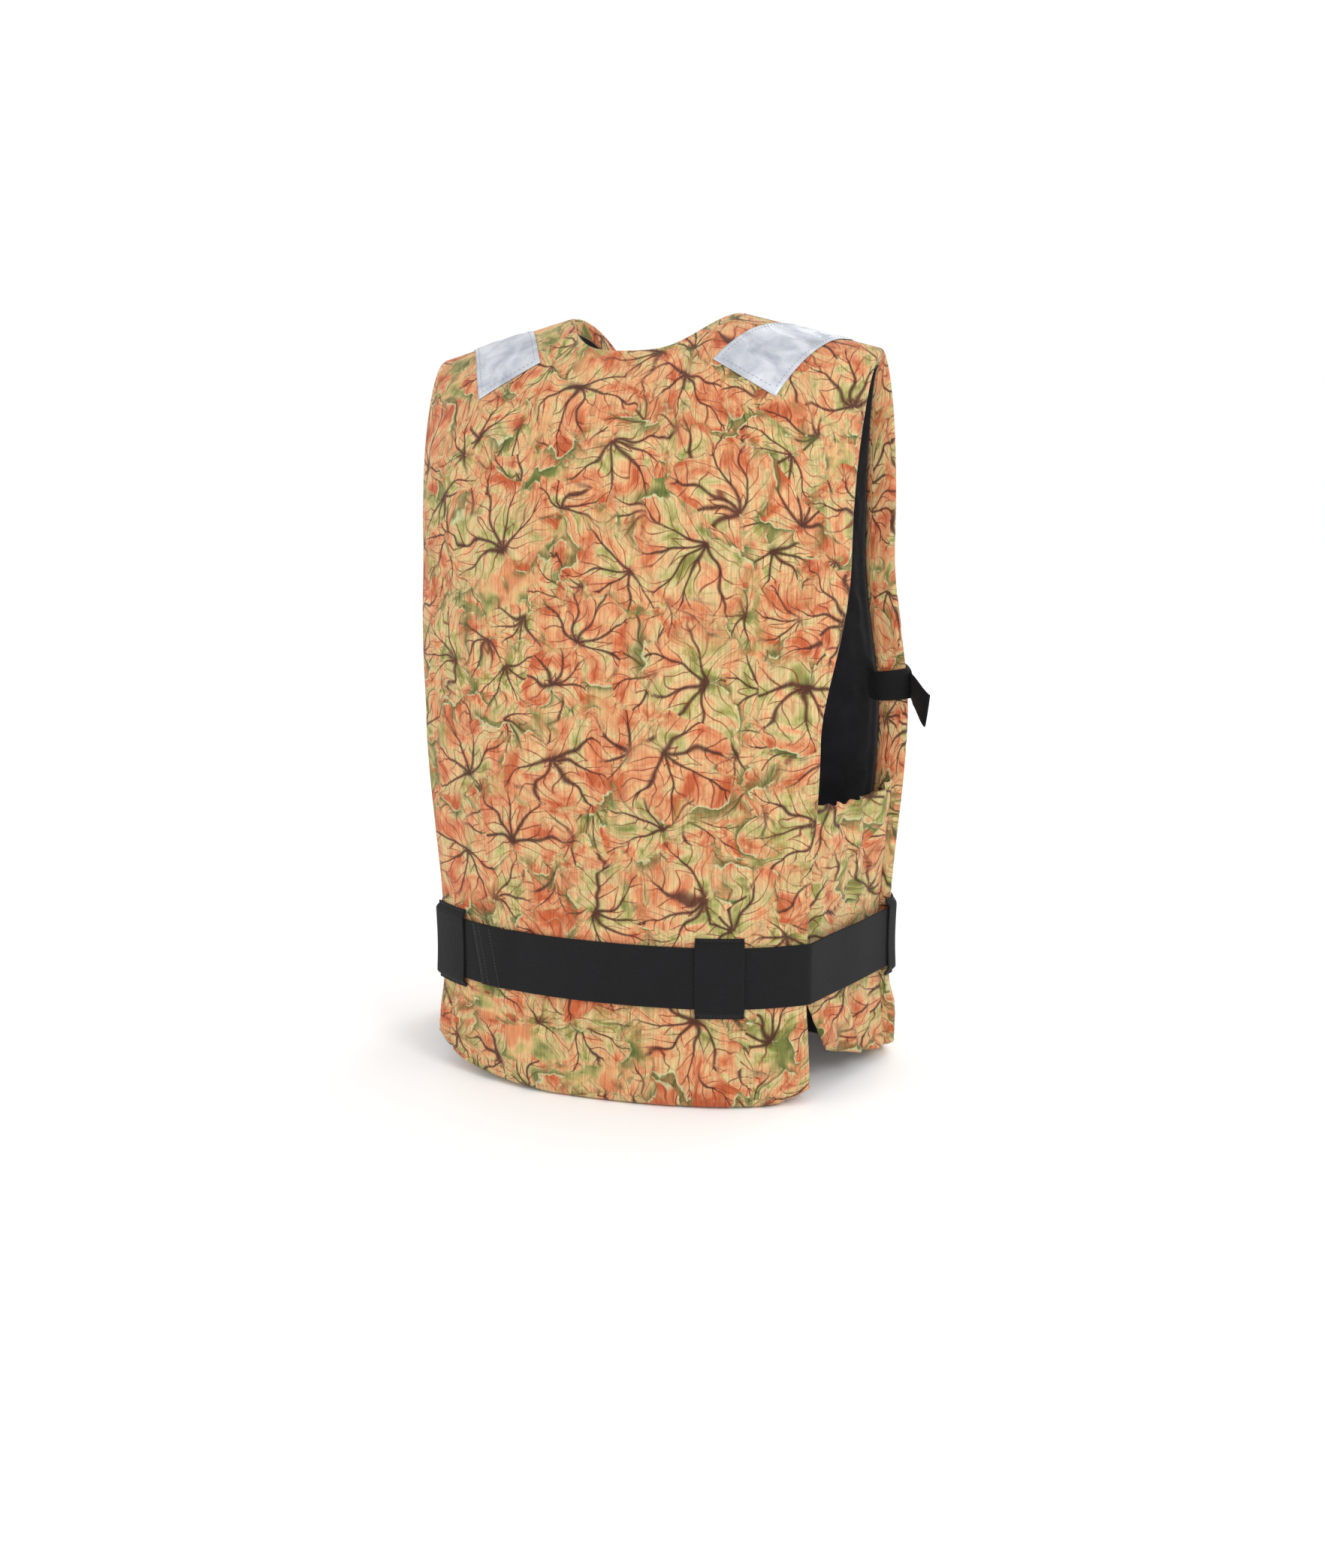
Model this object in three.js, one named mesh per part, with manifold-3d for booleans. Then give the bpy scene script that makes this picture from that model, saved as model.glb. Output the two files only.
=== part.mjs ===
// Padded flotation vest, standing on its hem. Millimetres, +Z up, the wearer faces -Y and their left is +X.
// Three thick foam panels (one back, two fronts) meet at the shoulder ridge and at a front zip, thin gussets
// join them at the sides, and a belt and a chest strap with side-release buckles hold them round the body.
import * as THREE from "three";
import { mergeVertices } from "three/addons/utils/BufferGeometryUtils.js";
import Module from "manifold-3d";

const wasm = await Module();
wasm.setup();

// ---- Driving dimensions ----------------------------------------------------------------------------------
// Body of the vest
const halfWidth = 202; // centre line to the widest point of the shell, before the girth factor
const backDepth = 142; // widest line back to the middle of the back
const frontDepth = 98; // widest line forward to the zip
const widestY = -25; // where the widest line stands
const backRoundness = 2.25; // exponent of the back's superellipse: 2 is an ellipse, more is squarer
const frontRoundness = 2.6;
const chestHeight = 430; // above this the panels curve over to the shoulders
const neckHeight = 606; // shoulder ridge beside the neck
const ridgeY = -28; // the shoulder ridge stands this far forward
const shoulderFall = 0.27; // drop of the ridge for each millimetre outwards
const shoulderLean = 0.035; // the left shoulder sits lower than the right by this share of the breadth
const neckHalfWidth = 69;
const backNeckRise = 1.66; // how far up its curve the back neck edge is: 1 at chest height, 2 at the ridge
const frontNeckRise = 1.24;
const hemGirth = 1.01; // how full the vest is at each height, against halfWidth
const waistGirth = 0.975;
const ribGirth = 1.03;
const ribHeight = 290;
const chestGirth = 0.96;
// Panels
const padThickness = 26;
const clothThickness = 1.5;
const clearance = 0.3; // gap that every pair of touching pieces keeps
const foamSlack = 2; // the foam is cut this much smaller than its cover all round
const backEdgeAngle = 49.5; // degrees round from the middle of the back to the armhole edge, below the ribs
const backEdgeChestAngle = 65;
const backEdgeShoulderAngle = 69.5;
const frontEdgeAngle = 80; // degrees round from the zip to the armhole edge
const frontEdgeShoulderAngle = 68;
const shoulderThinness = 0.55; // the pads thin to this share of padThickness at the ridge
const zipGap = 14; // between the two front panels
// Side gussets
const slitTop = 85; // below this the gusset is slit away from the back panel
const gussetFoot = 10;
const gussetFootRise = 24; // its rear corner hangs this much higher
const slitShare = 0.22; // share of its width that the slit takes at its foot
const gussetTop = 240;
const gussetThickness = 3;
const gussetSink = 9; // how far inside the outer face it is sewn
const gussetBulge = 4;
// Waist belt
const beltWidth = 50;
const beltThickness = 1.6;
const beltBottom = 81;
const beltGap = 1.2; // between the belt and the cloth under it
const beltOverlapAngle = 31; // where the sewn overlap ends, left of the middle of the back
const beltOverlapLength = 6; // degrees
const loopWidth = 38;
const loopMargin = 7.5; // the loop stands this far past the belt, above and below
const loopThickness = 1.4;
// Chest strap
const strapWidth = 25;
const strapThickness = 1.5;
const strapBottom = 305;
const strapGap = 1;
const strapTailReach = 24; // free end past the armhole edge
const strapTailDroop = 12;
const strapTailLean = 0.45; // how far the free end leans away from the armhole, per mm of its length
// Folded tails and the elastic keepers that hold them down, measured from the zip to the wearer's right
const tailFrom = -26;
const beltTailTo = -118;
const waistKeeperX = -90;
const chestKeeperX = -100;
const keeperWidth = 12;
const keeperThickness = 1.2;
const keeperFoot = 2.2;
const keeperMargin = 3; // past each edge of the webbing
const keeperSlack = 0.9;
// Side-release buckles
const buckleWall = 3.2;
const buckleFaceWall = 2.4;
const buckleThickness = 12;
const buckleRim = 6; // body past the webbing, each side
const buckleLeft = 46; // outer end of the socket half, from the zip
const buckleRight = -17; // outer end of the plug half
const buckleCorner = 4;
const buckleLift = 1.4; // the buckle stands this far off the cloth
const socketFace = 1; // the socket starts this far left of the zip, and the plug ends short of it
const plugFace = 0.4;
const socketDepth = 28;
const windowFrom = 10; // side windows that the arms spring out in
const windowTo = 24;
const slotWall = 5; // outer end of a half to its strap slot
const slotSize = 4;
const slotSlack = 1; // the slot is this much longer than the webbing, each end
const guideHalf = 3.5;
const guideShort = 3; // the plug's guide ends this far before the bottom of the socket
// Zip
const zipSink = padThickness / 2; // the chain's plane below the outer face
const zipTop = 474;
const zipBottom = 20.5;
const toothPitch = 14;
const chainHalfWidth = 3.2;
const chainThickness = 3;
const chainSplit = 0.75; // half the slit that the slider's post runs in
const sliderLength = 15;
const sliderHalfWidth = 5;
const sliderPlate = 2;
const sliderPlay = 0.7; // between the chain and each plate
const postLow = 9; // the post's ends, above the slider's lower end
const postHigh = 14;
const bridgeHalf = 1.5;
const bridgeLow = 3;
const bridgeHigh = 12;
const bridgeWall = 2; // bridge left below and above its hole
const bridgeRise = 3.8;
const bridgeRoom = 2.6;
const pullHang = 8.5; // the pull's bar, above the slider's lower end
const pullLength = 30;
// Pockets and reflective patches
const pocketInner = 38;
const pocketOuter = 138;
const pocketBottom = 150;
const pocketTop = 262;
const pocketDepth = 14;
const flapDrop = 46;
const flapThickness = 1.8;
const flapRise = 8; // the flap is sewn this far above the pocket
const reflectorWidth = 50;
const reflectorInset = 26; // shoulder end to the outer edge of the shoulder patch
const reflectorBackRise = 1.5;
const reflectorSkew = 0.1; // its back end is cut askew, rising this much towards the neck
const reflectorFrontRise = 1.6;
const reflectorSlant = 38; // the patch's back end lies this much nearer the neck
const reflectorThickness = 0.6;
const reflectorGap = 0.6;
const chestReflectorBottom = 362;
const chestReflectorHeight = 25;
const chestReflectorInner = 84;

// ---- The skin of the vest --------------------------------------------------------------------------------
const { lerp, degToRad, smoothstep, clamp } = THREE.MathUtils;
const back = { depth: backDepth, roundness: backRoundness, sign: 1 };
const front = { depth: frontDepth, roundness: frontRoundness, sign: -1 };

// Eases through [position, value] stations.
function through(stations, position) {
  for (let k = 1; k < stations.length; k++) {
    const [from, start] = stations[k - 1];
    const [to, end] = stations[k];
    if (position <= to) return lerp(start, end, smoothstep(position, from, to));
  }
  return stations.at(-1)[1];
}

const girthStations = [
  [0, hemGirth],
  [beltBottom + beltWidth / 2, waistGirth],
  [ribHeight, ribGirth],
  [chestHeight, chestGirth],
];
const girth = (height) => through(girthStations, height);

// A point on the outer face. `angle` is in degrees from the face's middle, positive to the wearer's left;
// `rise` is 0 at the hem, 1 at chest height and 2 on the shoulder ridge. The front keeps one depth below
// the chest so that the zip is straight.
function outerPoint(face, angle, rise) {
  const height = Math.min(rise, 1) * chestHeight;
  const turn = degToRad(angle);
  const power = 2 / face.roundness;
  const x = Math.sign(angle) * halfWidth * girth(height) * Math.abs(Math.sin(turn)) ** power;
  const swell = face === back ? girth(height) : 1;
  const lowY = widestY + face.sign * face.depth * swell * Math.abs(Math.cos(turn)) ** power;
  const over = (Math.max(rise - 1, 0) * Math.PI) / 2;
  const ridge = neckHeight - shoulderFall * Math.max(Math.abs(x) - neckHalfWidth, 0) - shoulderLean * x;
  const z = rise <= 1 ? rise * chestHeight : lerp(chestHeight, ridge, Math.sin(over));
  return new THREE.Vector3(x, lerp(ridgeY, lowY, Math.cos(over)), z);
}

// The angle at which the outer face has the given half-breadth.
function angleAt(face, x, rise) {
  const breadth = halfWidth * girth(Math.min(rise, 1) * chestHeight);
  const share = clamp(Math.abs(x) / breadth, 0, 1) ** (face.roundness / 2);
  return (Math.sign(x) * Math.asin(share) * 180) / Math.PI;
}

// The outer face with its inward direction, which is level at the hem so that the hem is flat.
function skin(face, angle, rise) {
  const step = 0.01;
  const point = outerPoint(face, angle, rise);
  const across = outerPoint(face, angle + 1, rise).sub(outerPoint(face, angle - 1, rise));
  const along = outerPoint(face, angle, rise + step).sub(outerPoint(face, angle, Math.max(rise - step, 0)));
  const inward = across.cross(along).normalize();
  const middle = new THREE.Vector3(0, widestY, Math.min(point.z, chestHeight / 2));
  if (inward.dot(middle.sub(point)) < 0) inward.negate();
  inward.z *= smoothstep(rise * chestHeight, 0, beltBottom);
  return { point, inward: inward.normalize() };
}

// The outer face at a height in millimetres, for what lies below the chest.
const skinAt = (face, angle, height) => skin(face, angle, height / chestHeight);

// ---- Solids ----------------------------------------------------------------------------------------------
function toManifold(geometry) {
  const bare = geometry.clone();
  bare.deleteAttribute("normal");
  bare.deleteAttribute("uv");
  const merged = mergeVertices(bare, 1e-4);
  const vertProperties = merged.attributes.position.array;
  const triVerts = new Uint32Array(merged.index.array);
  return new wasm.Manifold(new wasm.Mesh({ numProp: 3, vertProperties, triVerts }));
}

function toGeometry(solid) {
  const mesh = solid.getMesh();
  const geometry = new THREE.BufferGeometry();
  geometry.setAttribute("position", new THREE.BufferAttribute(mesh.vertProperties.slice(), 3));
  geometry.setIndex(new THREE.BufferAttribute(mesh.triVerts.slice(), 1));
  geometry.computeVertexNormals();
  return geometry;
}

const cut = (body, ...tools) =>
  toGeometry(tools.reduce((left, tool) => left.subtract(toManifold(tool)), toManifold(body)));
const join = (...parts) => toGeometry(parts.map(toManifold).reduce((all, part) => all.add(part)));

// A closed slab between two depths under a grid of skin points. `margin` draws its rim in.
function slab(at, columns, rows, near, far, margin = 0) {
  const wide = columns.length;
  const grid = rows.map((v) => columns.map((u) => at(u, v)));
  const last = { column: wide - 1, row: rows.length - 1 };
  const towards = (from, to) => to.point.clone().sub(from.point).normalize().multiplyScalar(margin);
  const positions = [];
  for (const depth of [near, far])
    for (let j = 0; j < rows.length; j++)
      for (let i = 0; i < wide; i++) {
        const here = grid[j][i];
        const p = here.point.clone();
        if (margin && i === 0) p.add(towards(here, grid[j][1]));
        if (margin && i === last.column) p.add(towards(here, grid[j][i - 1]));
        if (margin && j === 0) p.add(towards(here, grid[1][i]));
        if (margin && j === last.row) p.add(towards(here, grid[j - 1][i]));
        p.addScaledVector(here.inward, depth);
        positions.push(p.x, p.y, p.z);
      }
  const layer = wide * rows.length;
  const index = [];
  const quad = (a, b, c, d) => index.push(a, b, c, a, c, d);
  for (let j = 0; j < last.row; j++)
    for (let i = 0; i < last.column; i++) {
      const k = j * wide + i;
      quad(k, k + 1, k + wide + 1, k + wide);
      quad(layer + k, layer + k + wide, layer + k + wide + 1, layer + k + 1);
    }
  const rim = [];
  for (let i = 0; i < last.column; i++) rim.push(i);
  for (let j = 0; j < last.row; j++) rim.push(j * wide + last.column);
  for (let i = last.column; i > 0; i--) rim.push(last.row * wide + i);
  for (let j = last.row; j > 0; j--) rim.push(j * wide);
  rim.forEach((a, n) => {
    const b = rim[(n + 1) % rim.length];
    quad(b, a, layer + a, layer + b);
  });
  const geometry = new THREE.BufferGeometry();
  geometry.setAttribute("position", new THREE.Float32BufferAttribute(positions, 3));
  geometry.setIndex(index);
  if (toManifold(geometry).volume() < 0) {
    for (let k = 0; k < index.length; k += 3) [index[k + 1], index[k + 2]] = [index[k + 2], index[k + 1]];
    geometry.setIndex(index);
  }
  return geometry;
}

const steps = (count, from = 0, to = 1) => Array.from({ length: count + 1 }, (_, k) => lerp(from, to, k / count));

function block(low, high) {
  const size = high.map((value, k) => value - low[k]);
  const box = new THREE.BoxGeometry(...size);
  return box.translate(...low.map((value, k) => value + size[k] / 2));
}

// A flat outline in X and Z, given a thickness in Y about `middleY`.
function plate(outline, middleY, thickness) {
  const shape = new THREE.Shape(outline.map(([x, z]) => new THREE.Vector2(x, z)));
  const geometry = new THREE.ExtrudeGeometry(shape, { depth: thickness, bevelEnabled: false });
  return geometry.rotateX(Math.PI / 2).translate(0, middleY + thickness / 2, 0);
}

// A rectangle in X and Z with rounded corners.
function roundedPlate(x0, x1, z0, z1, radius, middleY, thickness) {
  const outline = [];
  const corners = [
    [x1 - radius, z1 - radius],
    [x0 + radius, z1 - radius],
    [x0 + radius, z0 + radius],
    [x1 - radius, z0 + radius],
  ];
  corners.forEach(([x, z], quarter) => {
    for (const part of steps(3)) {
      const turn = ((quarter + part) * Math.PI) / 2;
      outline.push([x + radius * Math.cos(turn), z + radius * Math.sin(turn)]);
    }
  });
  return plate(outline, middleY, thickness);
}

// ---- Scene graph -----------------------------------------------------------------------------------------
const vest = new THREE.Group();
const material = (color, roughness, metalness = 0) =>
  new THREE.MeshStandardMaterial({ color, roughness, metalness });
const finishes = {
  camouflage: material(0xd79f6c, 0.9),
  lining: material(0x26262b, 0.6),
  foam: material(0xe6e2d6, 0.95),
  webbing: material(0x232327, 0.75),
  plastic: material(0x1d1d20, 0.4),
  reflector: material(0xbfc3ca, 0.35, 0.6),
};
function add(name, geometry, finish) {
  const mesh = new THREE.Mesh(geometry, finishes[finish]);
  mesh.name = name;
  vest.add(mesh);
}

// ---- Padded panels ---------------------------------------------------------------------------------------
const backEdgeStations = [
  [0, backEdgeAngle],
  [ribHeight / chestHeight, backEdgeAngle + 0.5],
  [1, backEdgeChestAngle],
  [2, backEdgeShoulderAngle],
];
const backEdge = (rise) => through(backEdgeStations, rise);
const frontEdge = (rise) => lerp(frontEdgeAngle, frontEdgeShoulderAngle, smoothstep(rise, 1, 2));

// Where a column of the panel ends: at the shoulder seam, or lower, along the neck.
function topRise(face, share, lowest) {
  const reach = Math.abs(share) * (face === back ? backEdge(2) : frontEdge(2));
  const x = Math.abs(outerPoint(face, reach, 2).x);
  const near = clamp(x / neckHalfWidth, 0, 1);
  return lerp(lowest, 2, near ** (face === back ? 3.5 : 1.6));
}

// Panels are gridded by `u` across and `v` up, where v is the rise up to the chest and then a share of
// what is left up to the neck or the ridge. Their last row stands clear of the ridge seam.
const riseAt = (v, top) => (v <= 1 ? v : lerp(1, top, v - 1));

function seamed(face, place, rise) {
  if (rise > 1.999) place.point.y += face.sign * clearance;
  place.inward.multiplyScalar(lerp(1, shoulderThinness, smoothstep(rise, 1.1, 2)));
  return place;
}

function backPanel(u, v) {
  const rise = riseAt(v, topRise(back, u, backNeckRise));
  return seamed(back, skin(back, u * backEdge(rise), rise), rise);
}

const frontShare = (u) => u ** 1.3; // closes the columns up towards the zip, where the neck falls fastest
function frontPanel(side) {
  return (u, v) => {
    const rise = riseAt(v, topRise(front, frontShare(u), frontNeckRise));
    const angle = lerp(angleAt(front, zipGap / 2, rise), frontEdge(rise), frontShare(u));
    return seamed(front, skin(front, side * angle, rise), rise);
  };
}

// Cloth tray with its rim, the foam in it, and the lining that closes it.
function padded(name, at, columns, rows) {
  const liningDepth = padThickness - clothThickness;
  const rimDepth = liningDepth - clearance;
  const pastRim = padThickness + clothThickness;
  const tray = slab(at, columns, rows, 0, rimDepth);
  const hollow = slab(at, columns, rows, clothThickness, pastRim, clothThickness);
  const inset = clothThickness + foamSlack;
  const shell = cut(tray, hollow);
  add(name + "_shell", shell, "camouflage");
  const foamRows = rows.slice(0, -1); // the foam stops short of the neck and of the shoulder seam
  const foam = slab(at, columns, foamRows, inset, rimDepth - foamSlack, inset + foamSlack);
  add(name + "_foam", cut(foam, shell), "foam");
  add(name + "_lining", slab(at, columns, rows, liningDepth, padThickness), "lining");
}

// Rows stand where the belt and the chest patches have their edges, so that these lie flat on the cloth.
const beltTop = beltBottom + beltWidth;
const chestReflectorTop = chestReflectorBottom + chestReflectorHeight;
const strapTop = strapBottom + strapWidth;
const lowLevels = [0, beltBottom, beltTop, (beltTop + strapBottom) / 2];
const levels = [...lowLevels, strapBottom, strapTop, chestReflectorBottom, chestReflectorTop];
const panelRows = [...levels.map((height) => height / chestHeight), ...steps(6, 1, 2)];
const frontColumns = 8;
padded("back", backPanel, steps(14, -1, 1), panelRows);
for (const [word, side] of [["left", 1], ["right", -1]])
  padded("front_" + word, frontPanel(side), steps(frontColumns), panelRows);

// ---- Side gussets ----------------------------------------------------------------------------------------
// Unit direction along the skin away from the panel, at its armhole edge.
function pastEdge(face, angle, height) {
  const away = skinAt(face, angle, height).point.sub(skinAt(face, angle * 0.98, height).point);
  away.z = 0;
  return away.normalize();
}

function edgeSkin(face, side, height, outwards) {
  const angle = side * (face === back ? backEdge(height / chestHeight) : frontEdgeAngle);
  const edge = skinAt(face, angle, height);
  edge.point.addScaledVector(pastEdge(face, angle, height), outwards);
  return edge;
}

for (const [word, side] of [["left", 1], ["right", -1]]) {
  // `across` runs from the slit or the back panel (0) to the front panel (1).
  const at = (across, low) => {
    const below = Math.max(slitTop - low, 0) / (slitTop - gussetFoot);
    const height = low + below * gussetFootRise * (1 - across) ** 1.5;
    const u = lerp(below * slitShare, 1, across);
    const rear = edgeSkin(back, side, height, 2 * clearance);
    const fore = edgeSkin(front, side, height, 2 * clearance);
    const inward = rear.inward.clone().lerp(fore.inward, u).normalize();
    const point = rear.point.clone().lerp(fore.point, u);
    return { point: point.addScaledVector(inward, -gussetBulge * 4 * u * (1 - u)), inward };
  };
  const rows = [...steps(3, gussetFoot, slitTop), ...steps(4, slitTop, gussetTop).slice(1)];
  add("side_gusset_" + word, slab(at, steps(6), rows, gussetSink, gussetSink + gussetThickness), "camouflage");
}

// ---- Waist belt ------------------------------------------------------------------------------------------
// The belt's line round the vest: 0 is the middle of the back and 180 the zip, positive to the left.
// Between the panels it runs straight over the gusset.
function girdle(angle, height) {
  const side = Math.sign(angle) || 1;
  const rearEdge = backEdge(height / chestHeight);
  const foreEdge = 180 - frontEdgeAngle;
  const turn = Math.abs(angle);
  if (turn <= rearEdge) return skinAt(back, angle, height);
  if (turn >= foreEdge) return skinAt(front, side * (180 - turn), height);
  const rear = skinAt(back, side * rearEdge, height);
  const fore = skinAt(front, side * frontEdgeAngle, height);
  const share = (turn - rearEdge) / (foreEdge - rearEdge);
  rear.point.lerp(fore.point, share);
  rear.inward.lerp(fore.inward, share).normalize();
  return rear;
}

// Grid columns from one angle to another, with one at each corner of the vest.
function turns(from, to, stride) {
  const corners = [backEdgeAngle, 180 - frontEdgeAngle].flatMap((corner) => [corner, -corner]);
  const low = Math.min(from, to);
  const high = Math.max(from, to);
  const even = steps(Math.ceil((high - low) / stride), low, high);
  const inside = corners.filter((corner) => corner > low && corner < high);
  const spaced = even.filter((a) => a === low || a === high || inside.every((b) => Math.abs(a - b) > 1.5));
  return [...spaced, ...inside].sort((a, b) => a - b);
}

const beltFar = beltGap + beltThickness;
const beltRows = [beltBottom, beltTop];
const girdleAngle = (x, height) => Math.sign(x) * (180 - Math.abs(angleAt(front, x, height / chestHeight)));
const strapEndGap = 0.8;

// The layer on top steps out over the one below it as it reaches the overlap.
const lapStart = beltOverlapAngle - 2 * beltOverlapLength;
function lapped(angle, height) {
  const place = girdle(angle, height);
  const lift = (beltThickness + 2 * clearance) * smoothstep(angle, lapStart, lapStart + 4);
  place.point.addScaledVector(place.inward, -lift);
  return place;
}
const waistMiddle = beltBottom + beltWidth / 2;
const leftEnd = girdleAngle(buckleLeft + strapEndGap, waistMiddle);
const rightEnd = girdleAngle(buckleRight - strapEndGap, waistMiddle);
add(
  "waist_belt_left",
  slab(girdle, turns(lapStart + 5, leftEnd, 8), beltRows, -beltFar, -beltGap),
  "webbing",
);
add(
  "waist_belt_right",
  slab(lapped, turns(rightEnd, beltOverlapAngle, 6), beltRows, -beltFar, -beltGap),
  "webbing",
);

// Free tail of the belt, folded back from the plug over the belt to the right front.
const tailGap = beltFar + 2 * clearance;
const beltTailEnd = girdleAngle(beltTailTo, waistMiddle);
const beltTail = slab(
  girdle,
  turns(beltTailEnd, girdleAngle(tailFrom, waistMiddle), 8),
  beltRows,
  -(tailGap + beltThickness),
  -tailGap,
);
add("waist_belt_tail", beltTail, "webbing");

// A loop of webbing standing over the belt, sewn down above and below it.
// `skirt` gives the cloth at a height, because the loop clears the fullest cloth along it.
function standingLoop(skirt, width, low, high, inner, thickness, foot) {
  const place = skirt((low + high) / 2);
  const outline = new THREE.Shape();
  const crown = inner + thickness;
  outline.moveTo(clearance, low);
  outline.lineTo(crown - thickness, low);
  outline.lineTo(crown, low + thickness);
  outline.lineTo(crown, high - thickness);
  outline.lineTo(crown - thickness, high);
  outline.lineTo(clearance, high);
  outline.lineTo(clearance, high - foot);
  outline.lineTo(inner, high - foot);
  outline.lineTo(inner, low + foot);
  outline.lineTo(clearance, low + foot);
  const geometry = new THREE.ExtrudeGeometry(outline, { depth: width, bevelEnabled: false });
  geometry.translate(0, 0, -width / 2);
  const outwards = place.inward.clone().negate();
  outwards.z = 0;
  outwards.normalize();
  const swell = [low, high].map((height) => skirt(height).point.sub(place.point).dot(outwards));
  place.point.addScaledVector(outwards, Math.max(0, ...swell));
  const upright = new THREE.Vector3(0, 0, 1);
  const sideways = outwards.clone().cross(upright);
  const frame = new THREE.Matrix4().makeBasis(outwards, upright, sideways);
  frame.setPosition(place.point.x, place.point.y, 0);
  return geometry.applyMatrix4(frame);
}

const loopLow = beltBottom - loopMargin;
const loopHeight = beltWidth + 2 * loopMargin;
const loopFoot = loopMargin - 2; // sewn length above and below the belt
const loopInner = beltFar + 2 * clearance + 1.5;
const loopPlaces = {
  belt_loop_back_left: 43,
  belt_loop_back_right: -25,
  belt_loop_front_left: 104,
  belt_loop_front_right: -104,
};
for (const [name, angle] of Object.entries(loopPlaces)) {
  const skirt = (height) => girdle(angle, height);
  const high = loopLow + loopHeight;
  const loop = standingLoop(skirt, loopWidth, loopLow, high, loopInner, loopThickness, loopFoot);
  add(name, loop, "webbing");
}

// ---- Chest strap -----------------------------------------------------------------------------------------
// Each half is sewn inside its front panel, wraps the armhole edge and runs forward to the buckle.
const strapMiddle = strapBottom + strapWidth / 2;
const strapRows = [strapBottom, strapTop];
// The strap runs along the lining over the panel's last column.
const wrapEnd = frontEdgeAngle * frontShare(1 - 1 / frontColumns);

function strapHalf(side, endX) {
  const start = angleAt(front, endX, strapMiddle / chestHeight);
  const outerRun = steps(9, Math.abs(start), frontEdgeAngle).slice(0, -1);
  const stations = [
    ...outerRun.map((angle) => ({ angle })),
    { angle: frontEdgeAngle, corner: 1 },
    { angle: frontEdgeAngle, corner: -1 },
    { angle: wrapEnd, inside: true },
  ];
  const at = (k, height) => {
    const { angle, corner, inside } = stations[k];
    const place = skinAt(front, side * angle, height);
    if (!corner && !inside) return place;
    if (corner !== 1) place.point.addScaledVector(place.inward, padThickness + clearance);
    if (corner !== 1) place.inward.negate();
    if (corner) place.inward.sub(pastEdge(front, side * angle, height));
    return place;
  };
  const columns = stations.map((_, k) => k);
  return slab(at, columns, strapRows, -(strapGap + strapThickness), -strapGap);
}
add("chest_strap_left", strapHalf(1, buckleLeft + strapEndGap), "webbing");
add("chest_strap_right", strapHalf(-1, buckleRight - strapEndGap), "webbing");

// Free tail of the chest strap: back over the right half, past the armhole edge, drooping.
const strapTailGap = strapGap + strapThickness + 2 * clearance;
const tailStart = Math.abs(angleAt(front, tailFrom, strapMiddle / chestHeight));
const tailStations = [
  ...steps(8, tailStart, frontEdgeAngle - 1),
  ...steps(2, frontEdgeAngle - 1, frontEdgeAngle).slice(1),
];
const freeStations = steps(3, 0, strapTailReach).slice(1);
const tailLast = tailStations.length + freeStations.length - 1;
function strapTail(k, height) {
  const free = k >= tailStations.length;
  const angle = free ? frontEdgeAngle : tailStations[k];
  const place = skinAt(front, -angle, height);
  if (free) {
    const reach = freeStations[k - tailStations.length];
    place.point.addScaledVector(pastEdge(front, -frontEdgeAngle, strapMiddle), reach);
    place.point.x -= strapTailLean * reach;
  }
  place.point.z -= strapTailDroop * smoothstep(k, tailStations.length - 4, tailLast);
  return place;
}
const tailColumns = steps(tailLast, 0, tailLast);
add(
  "chest_strap_tail",
  slab(strapTail, tailColumns, strapRows, -(strapTailGap + strapThickness), -strapTailGap),
  "webbing",
);

// Elastic keepers that hold the folded tails down.
function keeper(angle, low, width, layers) {
  const skirt = (height) => skinAt(front, angle, height);
  const bottom = low - keeperMargin;
  const top = low + width + keeperMargin;
  return standingLoop(skirt, keeperWidth, bottom, top, layers + keeperSlack, keeperThickness, keeperFoot);
}
const waistKeeperAngle = angleAt(front, waistKeeperX, waistMiddle / chestHeight);
const chestKeeperAngle = angleAt(front, chestKeeperX, strapMiddle / chestHeight);
add("waist_keeper", keeper(waistKeeperAngle, beltBottom, beltWidth, tailGap + beltThickness), "webbing");
add(
  "chest_keeper",
  keeper(chestKeeperAngle, strapBottom, strapWidth, strapTailGap + strapThickness),
  "webbing",
);

// ---- Side-release buckles --------------------------------------------------------------------------------
// The socket half is on the left, the plug half on the right, and its two arms spring out in side windows.
const frontY = widestY - frontDepth;

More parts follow.
